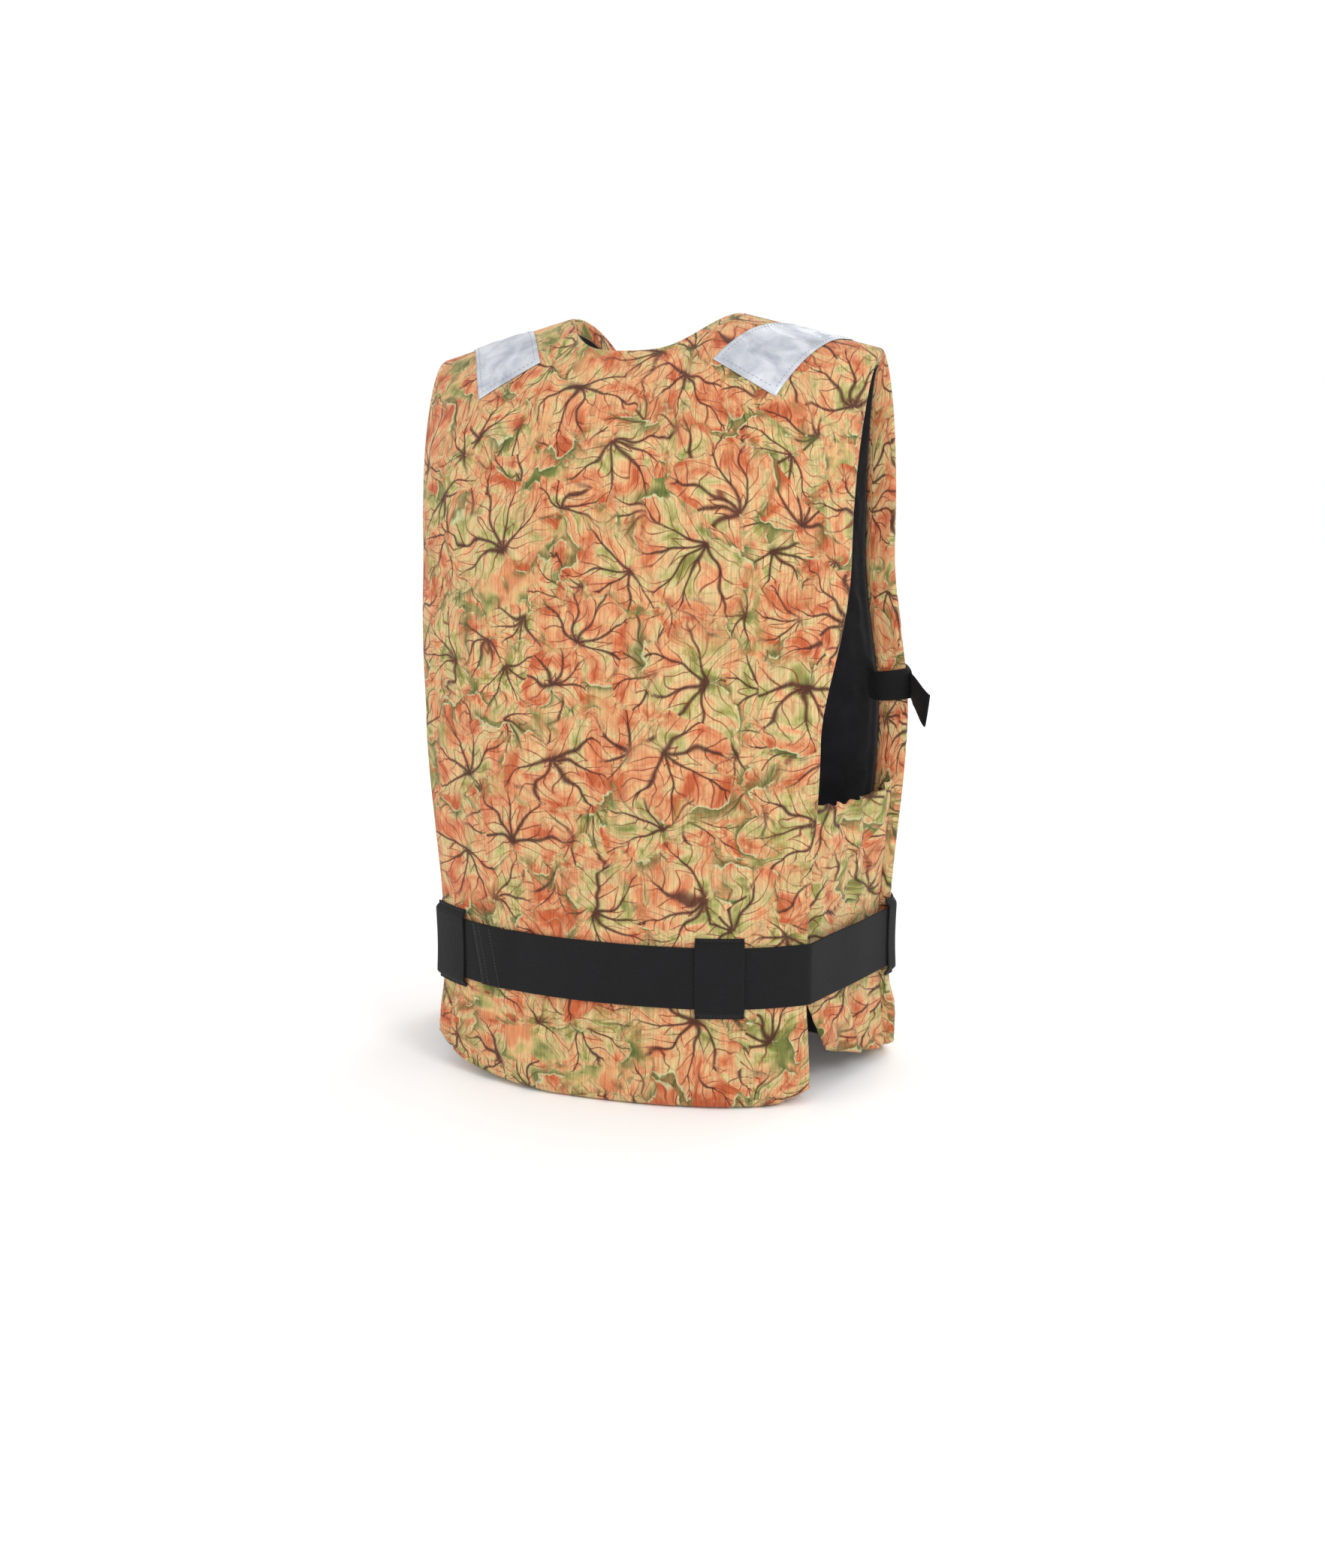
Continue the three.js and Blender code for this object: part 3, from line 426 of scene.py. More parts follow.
def leaf_layer(tree, place, ground, leaf_size, seed, share):
    """Paints one layer of fallen leaves over the colour `ground`.

    Each leaf has a fan of five veins from its stalk."""
    start = [seed, 1.7 * seed, 0]
    spread = node(tree, "VectorMath", [place, [1 / leaf_size] * 3, start], operation="MULTIPLY_ADD")
    cells = node(tree, "TexVoronoi", {"Vector": spread, "Scale": 1, "Randomness": 0.9}, voronoi_dimensions="2D")
    local = node(tree, "VectorMath", [spread, cells.outputs["Position"]], operation="SUBTRACT")
    parts = node(tree, "SeparateXYZ", [local])
    chance = node(tree, "SeparateColor", [cells.outputs["Color"]])
    away = cells.outputs["Distance"]
    blot = node(tree, "TexNoise", {"Vector": spread, "Scale": 2.6, "Detail": 3}, noise_dimensions="2D")
    wash = node(tree, "TexNoise", {"Vector": spread, "Scale": 5.5, "Detail": 4}, noise_dimensions="2D")
    # The angle from the leaf's own axis, and from the nearest of its five veins.
    turn = node(tree, "Math", [parts.outputs["Y"], parts.outputs["X"]], operation="ARCTAN2")
    turned = node(tree, "Math", [chance.outputs["Red"], math.tau, turn], operation="MULTIPLY_ADD")
    wrapped = node(tree, "Math", [turned, math.pi, -math.pi], operation="WRAP")
    sway = node(tree, "Math", [blot.outputs["Fac"], 0.9, -0.45], operation="MULTIPLY_ADD")
    angle = node(tree, "Math", [sway, away, wrapped], operation="MULTIPLY_ADD")
    vein_spacing = 0.66  # radians
    sector = node(tree, "Math", [angle, vein_spacing], operation="DIVIDE")
    nearest = node(tree, "Math", [sector], operation="ROUND")
    vein_number = node(tree, "Clamp", [nearest, -2, 2])
    offset = node(tree, "Math", [sector, vein_number], operation="SUBTRACT")
    aside = node(tree, "Math", [offset], operation="ABSOLUTE")
    slant = node(tree, "Math", [aside, vein_spacing], operation="MULTIPLY")
    sine = node(tree, "Math", [slant], operation="SINE")
    cosine = node(tree, "Math", [slant], operation="COSINE")
    lateral = node(tree, "Math", [sine, away], operation="MULTIPLY")
    along = node(tree, "Math", [cosine, away], operation="MULTIPLY")
    # Outline: lobes with shallow notches, mostly dissolved into what lies beside it, crisp and curled up with a
    # shadow beside it on short stretches.
    reach = node(tree, "Math", [aside, -0.22, 0.56], operation="MULTIPLY_ADD")
    outline = node(tree, "Math", [wash.outputs["Fac"], 0.2, reach], operation="MULTIPLY_ADD")
    inside = node(tree, "Math", [outline, away], operation="SUBTRACT")
    chosen = node(tree, "Math", [chance.outputs["Blue"], share], operation="LESS_THAN")
    crisp = node(tree, "MapRange", {"Value": blot.outputs["Fac"], "From Min": 0.51, "From Max": 0.58})
    softness = node(tree, "MapRange", {"Value": crisp, "To Min": 0.3, "To Max": 0.02})
    cover = node(tree, "MapRange", {"Value": inside, "From Min": 0, "From Max": softness, "To Max": 0.93},
                 interpolation_type="SMOOTHSTEP")
    mask = node(tree, "Math", [cover, chosen], operation="MULTIPLY")
    fall = node(tree, "MapRange", {"Value": inside, "From Min": -0.13, "From Max": 0.01},
                interpolation_type="SMOOTHSTEP")
    shade = node(tree, "Math", [fall, crisp], operation="MULTIPLY")
    shaded = node(tree, "Math", [shade, 0.75], operation="MULTIPLY")
    under = node(tree, "Math", [shaded, chosen], operation="MULTIPLY")
    lower = node(tree, "MixRGB", [under, ground, linear("#5F6B35")])
    # Washes: cream-green in wedges by the veins, then peach, salmon and a little orange-red.
    tint = node(tree, "Math", [away, 0.42, wash.outputs["Fac"]], operation="MULTIPLY_ADD")
    drift = node(tree, "Math", [chance.outputs["Green"], 0.25, tint], operation="MULTIPLY_ADD")
    ramp = node(tree, "ValToRGB", [drift])
    blend_stops(ramp, ((0.44, "#8F9450"), (0.55, "#BDBA78"), (0.66, "#E0CB98"),
                       (0.78, "#E9B384"), (0.9, "#DF9168"), (1.0, "#CB6A41")))
    # The veins taper outwards; side veins leave them at a slant, like a herringbone, and fork into finer ones.
    taper = node(tree, "Math", [away, -0.02, 0.0175], operation="MULTIPLY_ADD")
    width = node(tree, "Math", [taper, 0.006], operation="MAXIMUM")
    vein = node(tree, "Math", [lateral, width], operation="DIVIDE")
    main = node(tree, "MapRange", {"Value": vein, "From Min": 1.6, "From Max": 0.4, "To Max": 0.93})
    bow = node(tree, "Math", [blot.outputs["Fac"], 0.16, along], operation="MULTIPLY_ADD")
    slope = node(tree, "Math", [lateral, -1.15, bow], operation="MULTIPLY_ADD")
    saw = node(tree, "Math", [slope, 0.065], operation="PINGPONG")
    near_vein = node(tree, "MapRange", {"Value": lateral, "From Min": 0.26, "From Max": 0.04, "To Min": 0.2,
                                        "To Max": 0.9})
    side_vein = node(tree, "MapRange", {"Value": saw, "From Min": 0.011, "From Max": 0.003, "To Max": near_vein})
    fine = node(tree, "TexVoronoi", {"Vector": spread, "Scale": 11}, voronoi_dimensions="2D",
                feature="DISTANCE_TO_EDGE")
    net = node(tree, "MapRange", {"Value": fine.outputs["Distance"], "From Min": 0.07, "From Max": 0.01,
                                  "To Max": 0.3})
    netted = node(tree, "MixRGB", [net, ramp, linear("#B0582F")])
    red_veined = node(tree, "MixRGB", [side_vein, netted, linear("#843725")])
    veined = node(tree, "MixRGB", [main, red_veined, linear("#52241F")])
    hub = node(tree, "MapRange", {"Value": away, "From Min": 0.075, "From Max": 0.01, "To Max": 0.75})
    hubbed = node(tree, "MixRGB", [hub, veined, linear("#56281F")])
    # Pale curled edge.
    hem = node(tree, "MapRange", {"Value": inside, "From Min": 0.04, "From Max": 0.015, "To Max": 0.9})
    curled = node(tree, "Math", [hem, crisp], operation="MULTIPLY")
    leaf = node(tree, "MixRGB", [curled, hubbed, linear("#D9DDB0")])
    return node(tree, "MixRGB", [mask, lower, leaf])


def leaf_cloth():
    """Printed woven polyester: autumn leaves in soft watercolour, on a matt plain weave with a dry, dusty sheen."""
    material, tree, shader = new_material("printed_polyester")
    place = node(tree, "Attribute", attribute_name="cloth_place").outputs["Vector"]
    # The leaves are drawn a little bent, so the place is warped before they are.
    warp = node(tree, "TexNoise", {"Vector": place, "Scale": 26, "Detail": 1}, noise_dimensions="2D")
    centred = node(tree, "VectorMath", [warp.outputs["Color"], [0.5, 0.5, 0.5]], operation="SUBTRACT")
    warped = node(tree, "VectorMath", [centred, [0.026, 0.026, 0], place], operation="MULTIPLY_ADD")
    stain = node(tree, "TexNoise", {"Vector": place, "Scale": 30, "Detail": 4}, noise_dimensions="2D")
    ground = node(tree, "ValToRGB", [stain])
    blend_stops(ground, ((0.36, "#7F8648"), (0.46, "#B9AF72"), (0.55, "#E5BC88"), (0.66, "#DF9A6C")))
    # Leaf size in metres, seed and share of leaves, from the lowest layer up.
    layers = ((0.062, 3.1, 1.0), (0.066, 40.7, 1.0), (0.072, 17.2, 1.0), (0.084, 11.4, 0.85), (0.096, 23.9, 0.75))
    for leaf_size, seed, share in layers:
        ground = leaf_layer(tree, warped, ground, leaf_size, seed, share)
    deepened = node(tree, "Gamma", [ground, 1.14])
    # Fine streaks down the cloth, where the thread takes the ink unevenly.
    stretched = node(tree, "VectorMath", [place, [700, 45, 1]], operation="MULTIPLY")
    streak = node(tree, "TexNoise", {"Vector": stretched, "Scale": 1, "Detail": 2}, noise_dimensions="2D")
    fade = node(tree, "MapRange", {"Value": streak, "From Min": 0.3, "From Max": 0.7, "To Min": 0.72,
                                   "To Max": 1.02})
    faded = node(tree, "VectorMath", {0: deepened, "Scale": fade}, operation="SCALE")
    tree.links.new(faded.outputs[0], shader.inputs["Base Color"])
    shader.inputs["Roughness"].default_value = 0.88
    shader.inputs["Specular IOR Level"].default_value = 0.25
    shader.inputs["Sheen Weight"].default_value = 0.08
    shader.inputs["Sheen Roughness"].default_value = 0.6
    # Plain weave: 0.9 mm threads, drawn about three times too coarse so that they show.
    across = node(tree, "TexWave", {"Vector": place, "Scale": 350, "Distortion": 0.4}, bands_direction="X")
    down = node(tree, "TexWave", {"Vector": place, "Scale": 350, "Distortion": 0.4}, bands_direction="Y")
    woven = node(tree, "MixRGB", [0.5, across.outputs["Color"], down.outputs["Color"]])
    bump = node(tree, "Bump", {"Strength": 0.25, "Distance": 0.0004, "Height": woven})
    tree.links.new(bump.outputs[0], shader.inputs["Normal"])
    return material


leaf_print = leaf_cloth()
edge_radius = 4.5
ridge_radius = 2.5
inner_radius = 4.5
puff_limit = 5
groove_inset = 20  # the sewn channel that runs down beside the back's armhole edge
hem_inset = 7
corner_lift, corner_reach = 12, 42
curl_lift, curl_reach = 16, 130
panel_spacing = 5
inner_gap = 2.2
hold_reach = 14  # how far above and below the belt its grip on the cover fades out
pocket_hold_low, pocket_hold_high, pocket_hold_reach = 138, 282, 12
patch_hold_from, patch_hold_full = 500, 540
print_offset = 0.9  # metres of printed cloth from the back's middle to each front's


def cover_panel(name, at, low, high, side):
    """Builds one padded panel. `side` is 0 on the back, where both edges are armholes."""
    levels = panel_levels(panel_spacing)
    point, inward, place, margins = cloth_grid(at, low, high, panel_spacing, levels)
    armholes = np.minimum(margins["first"], margins["last"]) if side == 0 else margins["last"]
    # The hem's corners are cut round.
    lift = corner_lift * (1 - np.clip(armholes / corner_reach, 0, 1)) ** 2
    if side == 0:
        # The left one has curled up in use.
        lift = lift + curl_lift * (1 - np.clip(armholes / curl_reach, 0, 1)) ** 1.6 * (point[..., 0] > 0)
    point[..., 2] += lift * np.clip(1 - margins["low"] / 70, 0, 1)
    edge = np.minimum.reduce([margins["first"], margins["last"], margins["low"], margins["top"]])
    depth = pad_thickness - inner_gap
    near = np.maximum(rounding(edge, edge_radius) * (edge < margins["top"]), rounding(margins["top"], ridge_radius))
    far = depth - rounding(edge, inner_radius)
    outer = point + inward * near[..., None]
    inner = point + inward * far[..., None]
    rows, columns = edge.shape
    rim = rim_of(rows, columns)
    first, last = outer.reshape(-1, 3)[rim], inner.reshape(-1, 3)[rim]
    shares = (0.25, 0.5, 0.75)
    rings = [first + (last - first) * share for share in shares]
    piece, rim = closed_slab(name, outer, inner, rings)
    height = point[..., 2]
    # The cover can't lift where it is sewn at its edges or held down by the belt, strap and pocket.
    held = (edge < 1) | ((height > belt_bottom - 1) & (height < belt_top + 1))
    belted = ease(height, belt_bottom - hold_reach, belt_bottom)
    belted = belted * (1 - ease(height, belt_top, belt_top + hold_reach))
    freedom = ease(edge, 0, 16) * (1 - belted)
    if side:
        strapped = ease(height, strap_bottom - 10, strap_bottom) * (1 - ease(height, strap_top, strap_top + 10))
        freedom = freedom * (1 - strapped)
        pocketed = ease(height, pocket_hold_low, pocket_hold_low + pocket_hold_reach)
        pocketed = pocketed * (1 - ease(height, pocket_hold_high - pocket_hold_reach, pocket_hold_high))
        freedom = freedom * (1 - 0.75 * pocketed)
    patched = ease(height, patch_hold_from, patch_hold_full)
    freedom = freedom * (1 - 0.6 * patched)
    ring_freedom = np.concatenate([np.full(len(rim), 0.35 * math.sin(math.pi * share)) for share in shares])
    free = np.concatenate([freedom.ravel(), np.zeros(edge.size), ring_freedom])
    pinned = np.concatenate([held.ravel(), edge.ravel() < 1, np.zeros(len(ring_freedom))]).astype(float)
    rest = np.array([v.co for v in piece.data.vertices])
    normal = np.array([v.normal for v in piece.data.vertices])
    moved = simulate(piece, pinned, 4)
    reach = np.linalg.norm(moved, axis=1, keepdims=True)
    moved *= puff_limit * np.tanh(reach / puff_limit) / np.maximum(reach, 1e-6)
    moved *= free[:, None]
    # Slack in the cloth: broad dents, and short gathers beside the belt.
    flat = np.concatenate([point.reshape(-1, 3), inner.reshape(-1, 3), *rings])
    level = flat[:, 2]
    beside = np.exp(-np.minimum(np.abs(level - belt_bottom), np.abs(level - belt_top)) / 16)
    dents = wrinkle(flat * (1, 1, 0.7), 62, 3.1) * 1.5
    dents = dents + wrinkle(flat * (1, 1, 0.35), 17, 8.4) * (0.6 + 1.1 * beside)
    dents = dents * np.minimum(free * 1.4, 1)
    # Below the belt the cover is loose right down to its hem, and lumpy.
    skirt = (1 - ease(level, belt_bottom - 12, belt_bottom - 2)) * (free > 0)
    lumps = wrinkle(flat * (1, 1, 0.8), 24, 5.5) * 2.2 - np.abs(wrinkle(flat, 12, 12.9)) * 1.4 + 0.9
    loose = np.concatenate([ease(edge, 0, 7).ravel(), np.zeros(edge.size), ring_freedom])
    moved += normal * (dents + lumps * skirt * loose)[:, None]
    # Sewn lines pull the cover into the foam.
    line = np.exp(-(((margins["low"] - hem_inset) / 1.8) ** 2)) * 0.9
    if side == 0:
        below = 1 - ease(height, belt_bottom - 4, belt_bottom)
        line = line + np.exp(-(((armholes - groove_inset) / 2.2) ** 2)) * (1.9 * below)
    line = line + np.exp(-(((edge - 5) / 1.5) ** 2)) * 0.5 * (margins["low"] > 12)
    sunk = np.concatenate([line.ravel(), np.zeros(len(free) - line.size)])
    moved -= normal * sunk[:, None]
    settled = rest + moved * MM
    settled[:, 2] = np.maximum(settled[:, 2], 0.3 * MM)
    set_points(piece, settled)
    # The print runs on over the edge and down the wall.
    around = place.reshape(-1, 3)
    onward = np.stack([
        np.where(margins["last"] < 1, 1.0, np.where(margins["first"] < 1, -1.0, 0.0)),
        np.where(margins["top"] < 1, 1.0, np.where(margins["low"] < 1, -1.0, 0.0)),
        np.zeros(edge.shape),
    ], -1).reshape(-1, 3)
    walls = [around[rim] + onward[rim] * pad_thickness * share for share in shares]
    places = np.concatenate([around, around + onward * pad_thickness, *walls])
    paint_place(piece, places * MM + (side * print_offset, 0, 0))
    piece.data.materials.append(leaf_print)
    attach(piece, "vest")
    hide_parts(name.replace("_cover", "_shell"), name.replace("_cover", "_foam"))
    return dict(piece=piece, point=point, inward=inward, margins=margins, place=place, armholes=armholes,
                top=settled[: point.size // 3].reshape(point.shape) / MM - shift)


panels = {
    "back": cover_panel("back_cover", back_panel, -1, 1, 0),
    "front_left": cover_panel("front_left_cover", front_panel(1), 0, 1, 1),
    "front_right": cover_panel("front_right_cover", front_panel(-1), 0, 1, -1),
}


# ---- Stitching --------------------------------------------------------------------------------------------
# Lockstitch in thick bonded thread: short raised stitches, each with its ends pulled into the cloth.
def thread(name, code):
    """Bonded polyester thread, with a slight waxy shine."""
    material, tree, shader = new_material(name)
    shader.inputs["Base Color"].default_value = linear(code)
    shader.inputs["Roughness"].default_value = 0.55
    place = node(tree, "TexCoord").outputs["Object"]
    grain = node(tree, "TexNoise", {"Vector": place, "Scale": 2500, "Detail": 1})
    bump = node(tree, "Bump", {"Strength": 0.3, "Distance": 0.0002, "Height": grain.outputs["Fac"]})
    tree.links.new(bump.outputs[0], shader.inputs["Normal"])
    return material


tan_thread = thread("tan_bonded_thread", "#9A7A50")
black_thread = thread("black_bonded_thread", "#2A2A2E")
grey_thread = thread("grey_bonded_thread", "#8D9097")


def stitches(name, lines, body, material, length=3.2, gap=1.3, width=0.9):
    """One mesh of stitches along lines, each a list of points and a list of outward directions."""
    points, faces = [], []
    for path, outward in lines:
        path, outward = np.asarray(path, float), np.asarray(outward, float)
        arc = np.concatenate([[0], np.linalg.norm(np.diff(path, axis=0), axis=1).cumsum()])
        for start in np.arange(gap, arc[-1] - length, length + gap):
            ring = []
            for share, tall in ((0, 0.1), (0.25, 1), (0.75, 1), (1, 0.1)):
                at = np.array([np.interp(start + share * length, arc, path[:, k]) for k in range(3)])
                up = unit(np.array([np.interp(start + share * length, arc, outward[:, k]) for k in range(3)]))
                ring.append((at, up, tall))
            along = unit(ring[-1][0] - ring[0][0])
            base = len(points)
            for at, up, tall in ring:
                aside = np.cross(along, up)
                half = width / 2 * (0.5 + 0.5 * tall)
                for turn in (0, 60, 120, 180):
                    c, s = math.cos(math.radians(turn)), math.sin(math.radians(turn))
                    points.append(at + aside * half * c + up * (s * width * 0.6 * tall - 0.15))
            for k in range(3):
                a = base + 4 * k
                faces += [(a + m, a + m + 1, a + m + 5, a + m + 4) for m in range(3)]
                faces.append((a + 3, a, a + 4, a + 7))
            faces += [(base + 3, base + 2, base + 1, base), (base + 12, base + 13, base + 14, base + 15)]
    piece = mesh_piece(name, points, faces)
    face_outwards(piece)
    piece.data.materials.append(material)
    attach(piece, body)
    return piece


def panel_line(panel, margin, distance, low=0.0, high=1e9, keep=None):
    """The cover's line at a distance from one of its edges, as points and outward directions."""
    field = panel["margins"][margin] if isinstance(margin, str) else margin
    top, inward = panel["top"], panel["inward"]
    found = []
    if isinstance(margin, str) and margin in ("low", "top"):
        for i in range(field.shape[1]):
            order = np.argsort(field[:, i])
            at = [np.interp(distance, field[order, i], top[order, i, k]) for k in range(3)]
            up = [-np.interp(distance, field[order, i], inward[order, i, k]) for k in range(3)]
            found.append((at, up))
    else:
        for j in range(field.shape[0]):
            order = np.argsort(field[j])
            at = [np.interp(distance, field[j, order], top[j, order, k]) for k in range(3)]
            up = [-np.interp(distance, field[j, order], inward[j, order, k]) for k in range(3)]
            if low <= at[2] <= high:
                found.append((at, up))
    if keep:
        found = found[keep : -keep]
    return np.array([a for a, _ in found]), unit(np.array([u for _, u in found]))


edge_lines = []
for name, panel in panels.items():
    edge_lines.append(panel_line(panel, "low", hem_inset, keep=3))
    for margin in ("first", "last"):
        edge_lines.append(panel_line(panel, margin, 5, 14, belt_bottom - 5))
        edge_lines.append(panel_line(panel, margin, 5, belt_top + 4, 560))
for margin in ("first", "last"):
    edge_lines.append(panel_line(panels["back"], margin, groove_inset, 10, belt_bottom - 4))
stitches("edge_stitching", edge_lines, "vest", tan_thread, 2.8, 1.4, 0.7)

# ---- Linings ----------------------------------------------------------------------------------------------
# The inside of each panel is lined with thin black nylon, sewn round its edge and lying a little slack.
def nylon(name, code, thread_scale):
    """Plain-woven nylon: smooth filament yarn, so it has a soft broad shine over a fine even weave."""
    material, tree, shader = new_material(name)
    shader.inputs["Roughness"].default_value = 0.62
    shader.inputs["Sheen Weight"].default_value = 0.25
    shader.inputs["Sheen Roughness"].default_value = 0.4
    place = node(tree, "Attribute", attribute_name="cloth_place").outputs["Vector"]
    cloudy = node(tree, "TexNoise", {"Vector": place, "Scale": 30, "Detail": 3})
    tone = node(tree, "MixRGB", [cloudy.outputs["Fac"], linear(code), linear("#303036")])
    tree.links.new(tone.outputs[0], shader.inputs["Base Color"])
    across = node(tree, "TexWave", {"Vector": place, "Scale": thread_scale}, bands_direction="X")
    down = node(tree, "TexWave", {"Vector": place, "Scale": thread_scale}, bands_direction="Y")
    woven = node(tree, "MixRGB", [0.5, across.outputs["Color"], down.outputs["Color"]])
    bump = node(tree, "Bump", {"Strength": 0.3, "Distance": 0.0003, "Height": woven})
    tree.links.new(bump.outputs[0], shader.inputs["Normal"])
    return material


lining_nylon = nylon("plain_woven_nylon", "#1B1B20", 350)
lining_thickness = 0.8
lining_slack = 2.2


def cloth_sheet(name, outer, outward, thickness, place, material, body, nodes):
    """A sheet of cloth with its real thickness behind the grid `outer`."""
    edge = np.zeros(outer.shape[:2])
    edge[1:-1, 1:-1] = 1
    drop = thickness * 0.3 * (1 - edge)
    top, under = outer - outward * drop[..., None], outer - outward * (thickness - drop)[..., None]
    piece, rim = closed_slab(name, top, under)
    place = np.asarray(place, float).reshape(-1, 3)
    paint_place(piece, np.concatenate([place, place]) * MM)
    piece.data.materials.append(material)
    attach(piece, body)
    if nodes:
        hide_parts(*nodes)
    return piece


for name, panel in panels.items():
    margins = panel["margins"]
    edge = np.minimum.reduce([margins["first"], margins["last"], margins["low"], margins["top"]])
    spot = panel["point"] + panel["inward"] * (pad_thickness - lining_thickness)
    slack = wrinkle(spot.reshape(-1, 3) * (1, 1, 0.6), 48, 15.2) + 0.6 * wrinkle(spot.reshape(-1, 3), 15, 4.4)
    slack = (0.9 + slack.reshape(edge.shape)) * lining_slack * ease(edge, 0, 22)
    side = panel["place"] + (0, 0, 40)
    cloth_sheet(name + "_lining_cloth", spot + unit(panel["inward"]) * slack[..., None], -unit(panel["inward"]),
                -lining_thickness, side, lining_nylon, "vest", [name + "_lining"])

# ---- Side gussets -----------------------------------------------------------------------------------------
# A single thickness of the printed cloth joins back and front at each side, cut wide so that it hangs in loose
# folds under a gathered top edge. Below the belt it is sewn to the front only, and a slit frees it from the back.
slit_top, gusset_top = 85, 240
gusset_foot, gusset_foot_rise = 10, 24
slit_share = 0.22
gusset_sink = 9
gusset_bulge = 4
gusset_thickness = 1.6


def past_edge(face, angle, rise):
    away = outer_point(face, angle, rise) - outer_point(face, angle * 0.98, rise)
    away[..., 2] = 0
    return unit(away)


def edge_skin(face, side, rise, outwards):
    angle = side * (back_edge(rise) if face is back else front_edge_angle + 0 * rise)
    point, inward = skin(face, angle, rise)
    return point + past_edge(face, angle, rise) * outwards, inward


for word, side in (("left", 1), ("right", -1)):
    across, low = np.meshgrid(np.linspace(0, 1, 40), np.linspace(gusset_foot, gusset_top, 92))
    below = np.maximum(slit_top - low, 0) / (slit_top - gusset_foot)
    height = low + below * gusset_foot_rise * (1 - across) ** 1.5
    share = across + (1 - across) * below * slit_share
    rear, rear_in = edge_skin(back, side, height / chest_height, 0.4)
    fore, fore_in = edge_skin(front, side, height / chest_height, 0.4)
    inward = unit(rear_in + (fore_in - rear_in) * share[..., None])
    spot = rear + (fore - rear) * share[..., None]
    arch = 4 * share * (1 - share)
    bulge = gusset_bulge * arch
    # It is held at its seams and under the belt, and hangs slack elsewhere.
    held = ease(np.abs(height - belt_bottom - belt_width / 2), belt_width / 2 - 4, belt_width / 2 + 26)
    sewn = ease(1 - share, 0, 0.16) * np.where(below > 0, 1, ease(share, 0, 0.16))
    loose = held * sewn
    folds = np.abs(np.sin(across * 11 + 0.03 * (height - 180) + 2 * side)) * 3.6 - 1.6
    folds = folds + wrinkle((spot * (1, 1, 0.4)).reshape(-1, 3), 21, 6.6 + side).reshape(share.shape) * 4
    folds = folds + wrinkle(spot.reshape(-1, 3), 9, 2.2 + side).reshape(share.shape) * 1.3
    gather = np.sin(share * 44 + side) * 1.4 * ease(height, gusset_top - 26, gusset_top - 6)
    rolled = 1.8 * np.exp(-(((height - gusset_top + 2) / 2.6) ** 2))
    rolled = rolled + 1.6 * np.exp(-(((low - gusset_foot - 2) / 3) ** 2))
    out = -gusset_sink + bulge + loose * (folds + gather) + rolled * sewn**0.3
    sag = 6 * arch * ease(height, gusset_top - 60, gusset_top)
    flutter = 1.6 * wrinkle(spot.reshape(-1, 3), 8, 5.1).reshape(share.shape)
    sag = sag + flutter * ease(height, gusset_top - 20, gusset_top) * sewn
    spot = spot - inward * out[..., None]
    spot[..., 2] -= sag
    place = np.stack([(share - 0.5) * 90 * side, height, np.full(share.shape, 7.0)], -1) + (300 * side, 0, 0)
    cloth_sheet("side_gusset_cloth_" + word, spot, -inward, gusset_thickness, place, leaf_print, "vest",
                ["side_gusset_" + word])

# ---- Waist belt -------------------------------------------------------------------------------------------
# Flat black polyester webbing, 50 mm wide and 1.6 mm thick, in two halves that are sewn together left of the
# middle of the back, run through four loops and end in a side-release buckle at the zip.
def webbing_material():
    """Ribbed polyester webbing: matt spun yarn in lengthwise ribs, each crossed by small slanting picks."""
    material, tree, shader = new_material("ribbed_polyester_webbing")
    shader.inputs["Roughness"].default_value = 0.82
    shader.inputs["Specular IOR Level"].default_value = 0.28
    shader.inputs["Sheen Weight"].default_value = 0.05
    place = node(tree, "Attribute", attribute_name="cloth_place").outputs["Vector"]
    # Ribs 1.9 mm apart and picks 1.3 mm apart, a little coarser than real ones so that they show.
    ribs = node(tree, "TexWave", {"Vector": place, "Scale": 165, "Distortion": 0.2}, bands_direction="Y")
    slanted = node(tree, "Mapping", {"Vector": place, "Rotation": (0, 0, 0.6)})
    picks = node(tree, "TexWave", {"Vector": slanted, "Scale": 240, "Distortion": 0.3}, bands_direction="X")
    woven = node(tree, "MixRGB", [0.45, ribs.outputs["Color"], picks.outputs["Color"]])
    dust = node(tree, "TexNoise", {"Vector": place, "Scale": 45, "Detail": 4})
    worn = node(tree, "MixRGB", [dust.outputs["Fac"], linear("#09090B"), linear("#131317")])
    # The rib and pick pattern is multiplied into the colour: painted shade in the grooves between the ribs.
    groove_shaded = node(tree, "MixRGB", [0.35, worn, woven], blend_type="MULTIPLY")
    tree.links.new(groove_shaded.outputs[0], shader.inputs["Base Color"])
    bump = node(tree, "Bump", {"Strength": 0.55, "Distance": 0.0006, "Height": woven})
    tree.links.new(bump.outputs[0], shader.inputs["Normal"])
    return material


webbing_cloth = webbing_material()
belt_thickness = 1.6
belt_gap = 1.2
belt_middle = belt_bottom + belt_width / 2
belt_far = belt_gap + belt_thickness
overlap_angle, overlap_length = 31, 6
overlap_slant = 1.6  # degrees that the sewn end leans
buckle_left, buckle_right = 46, -17
buckle_lift, buckle_thickness = 1.4, 12
webbing_edge = 0.5


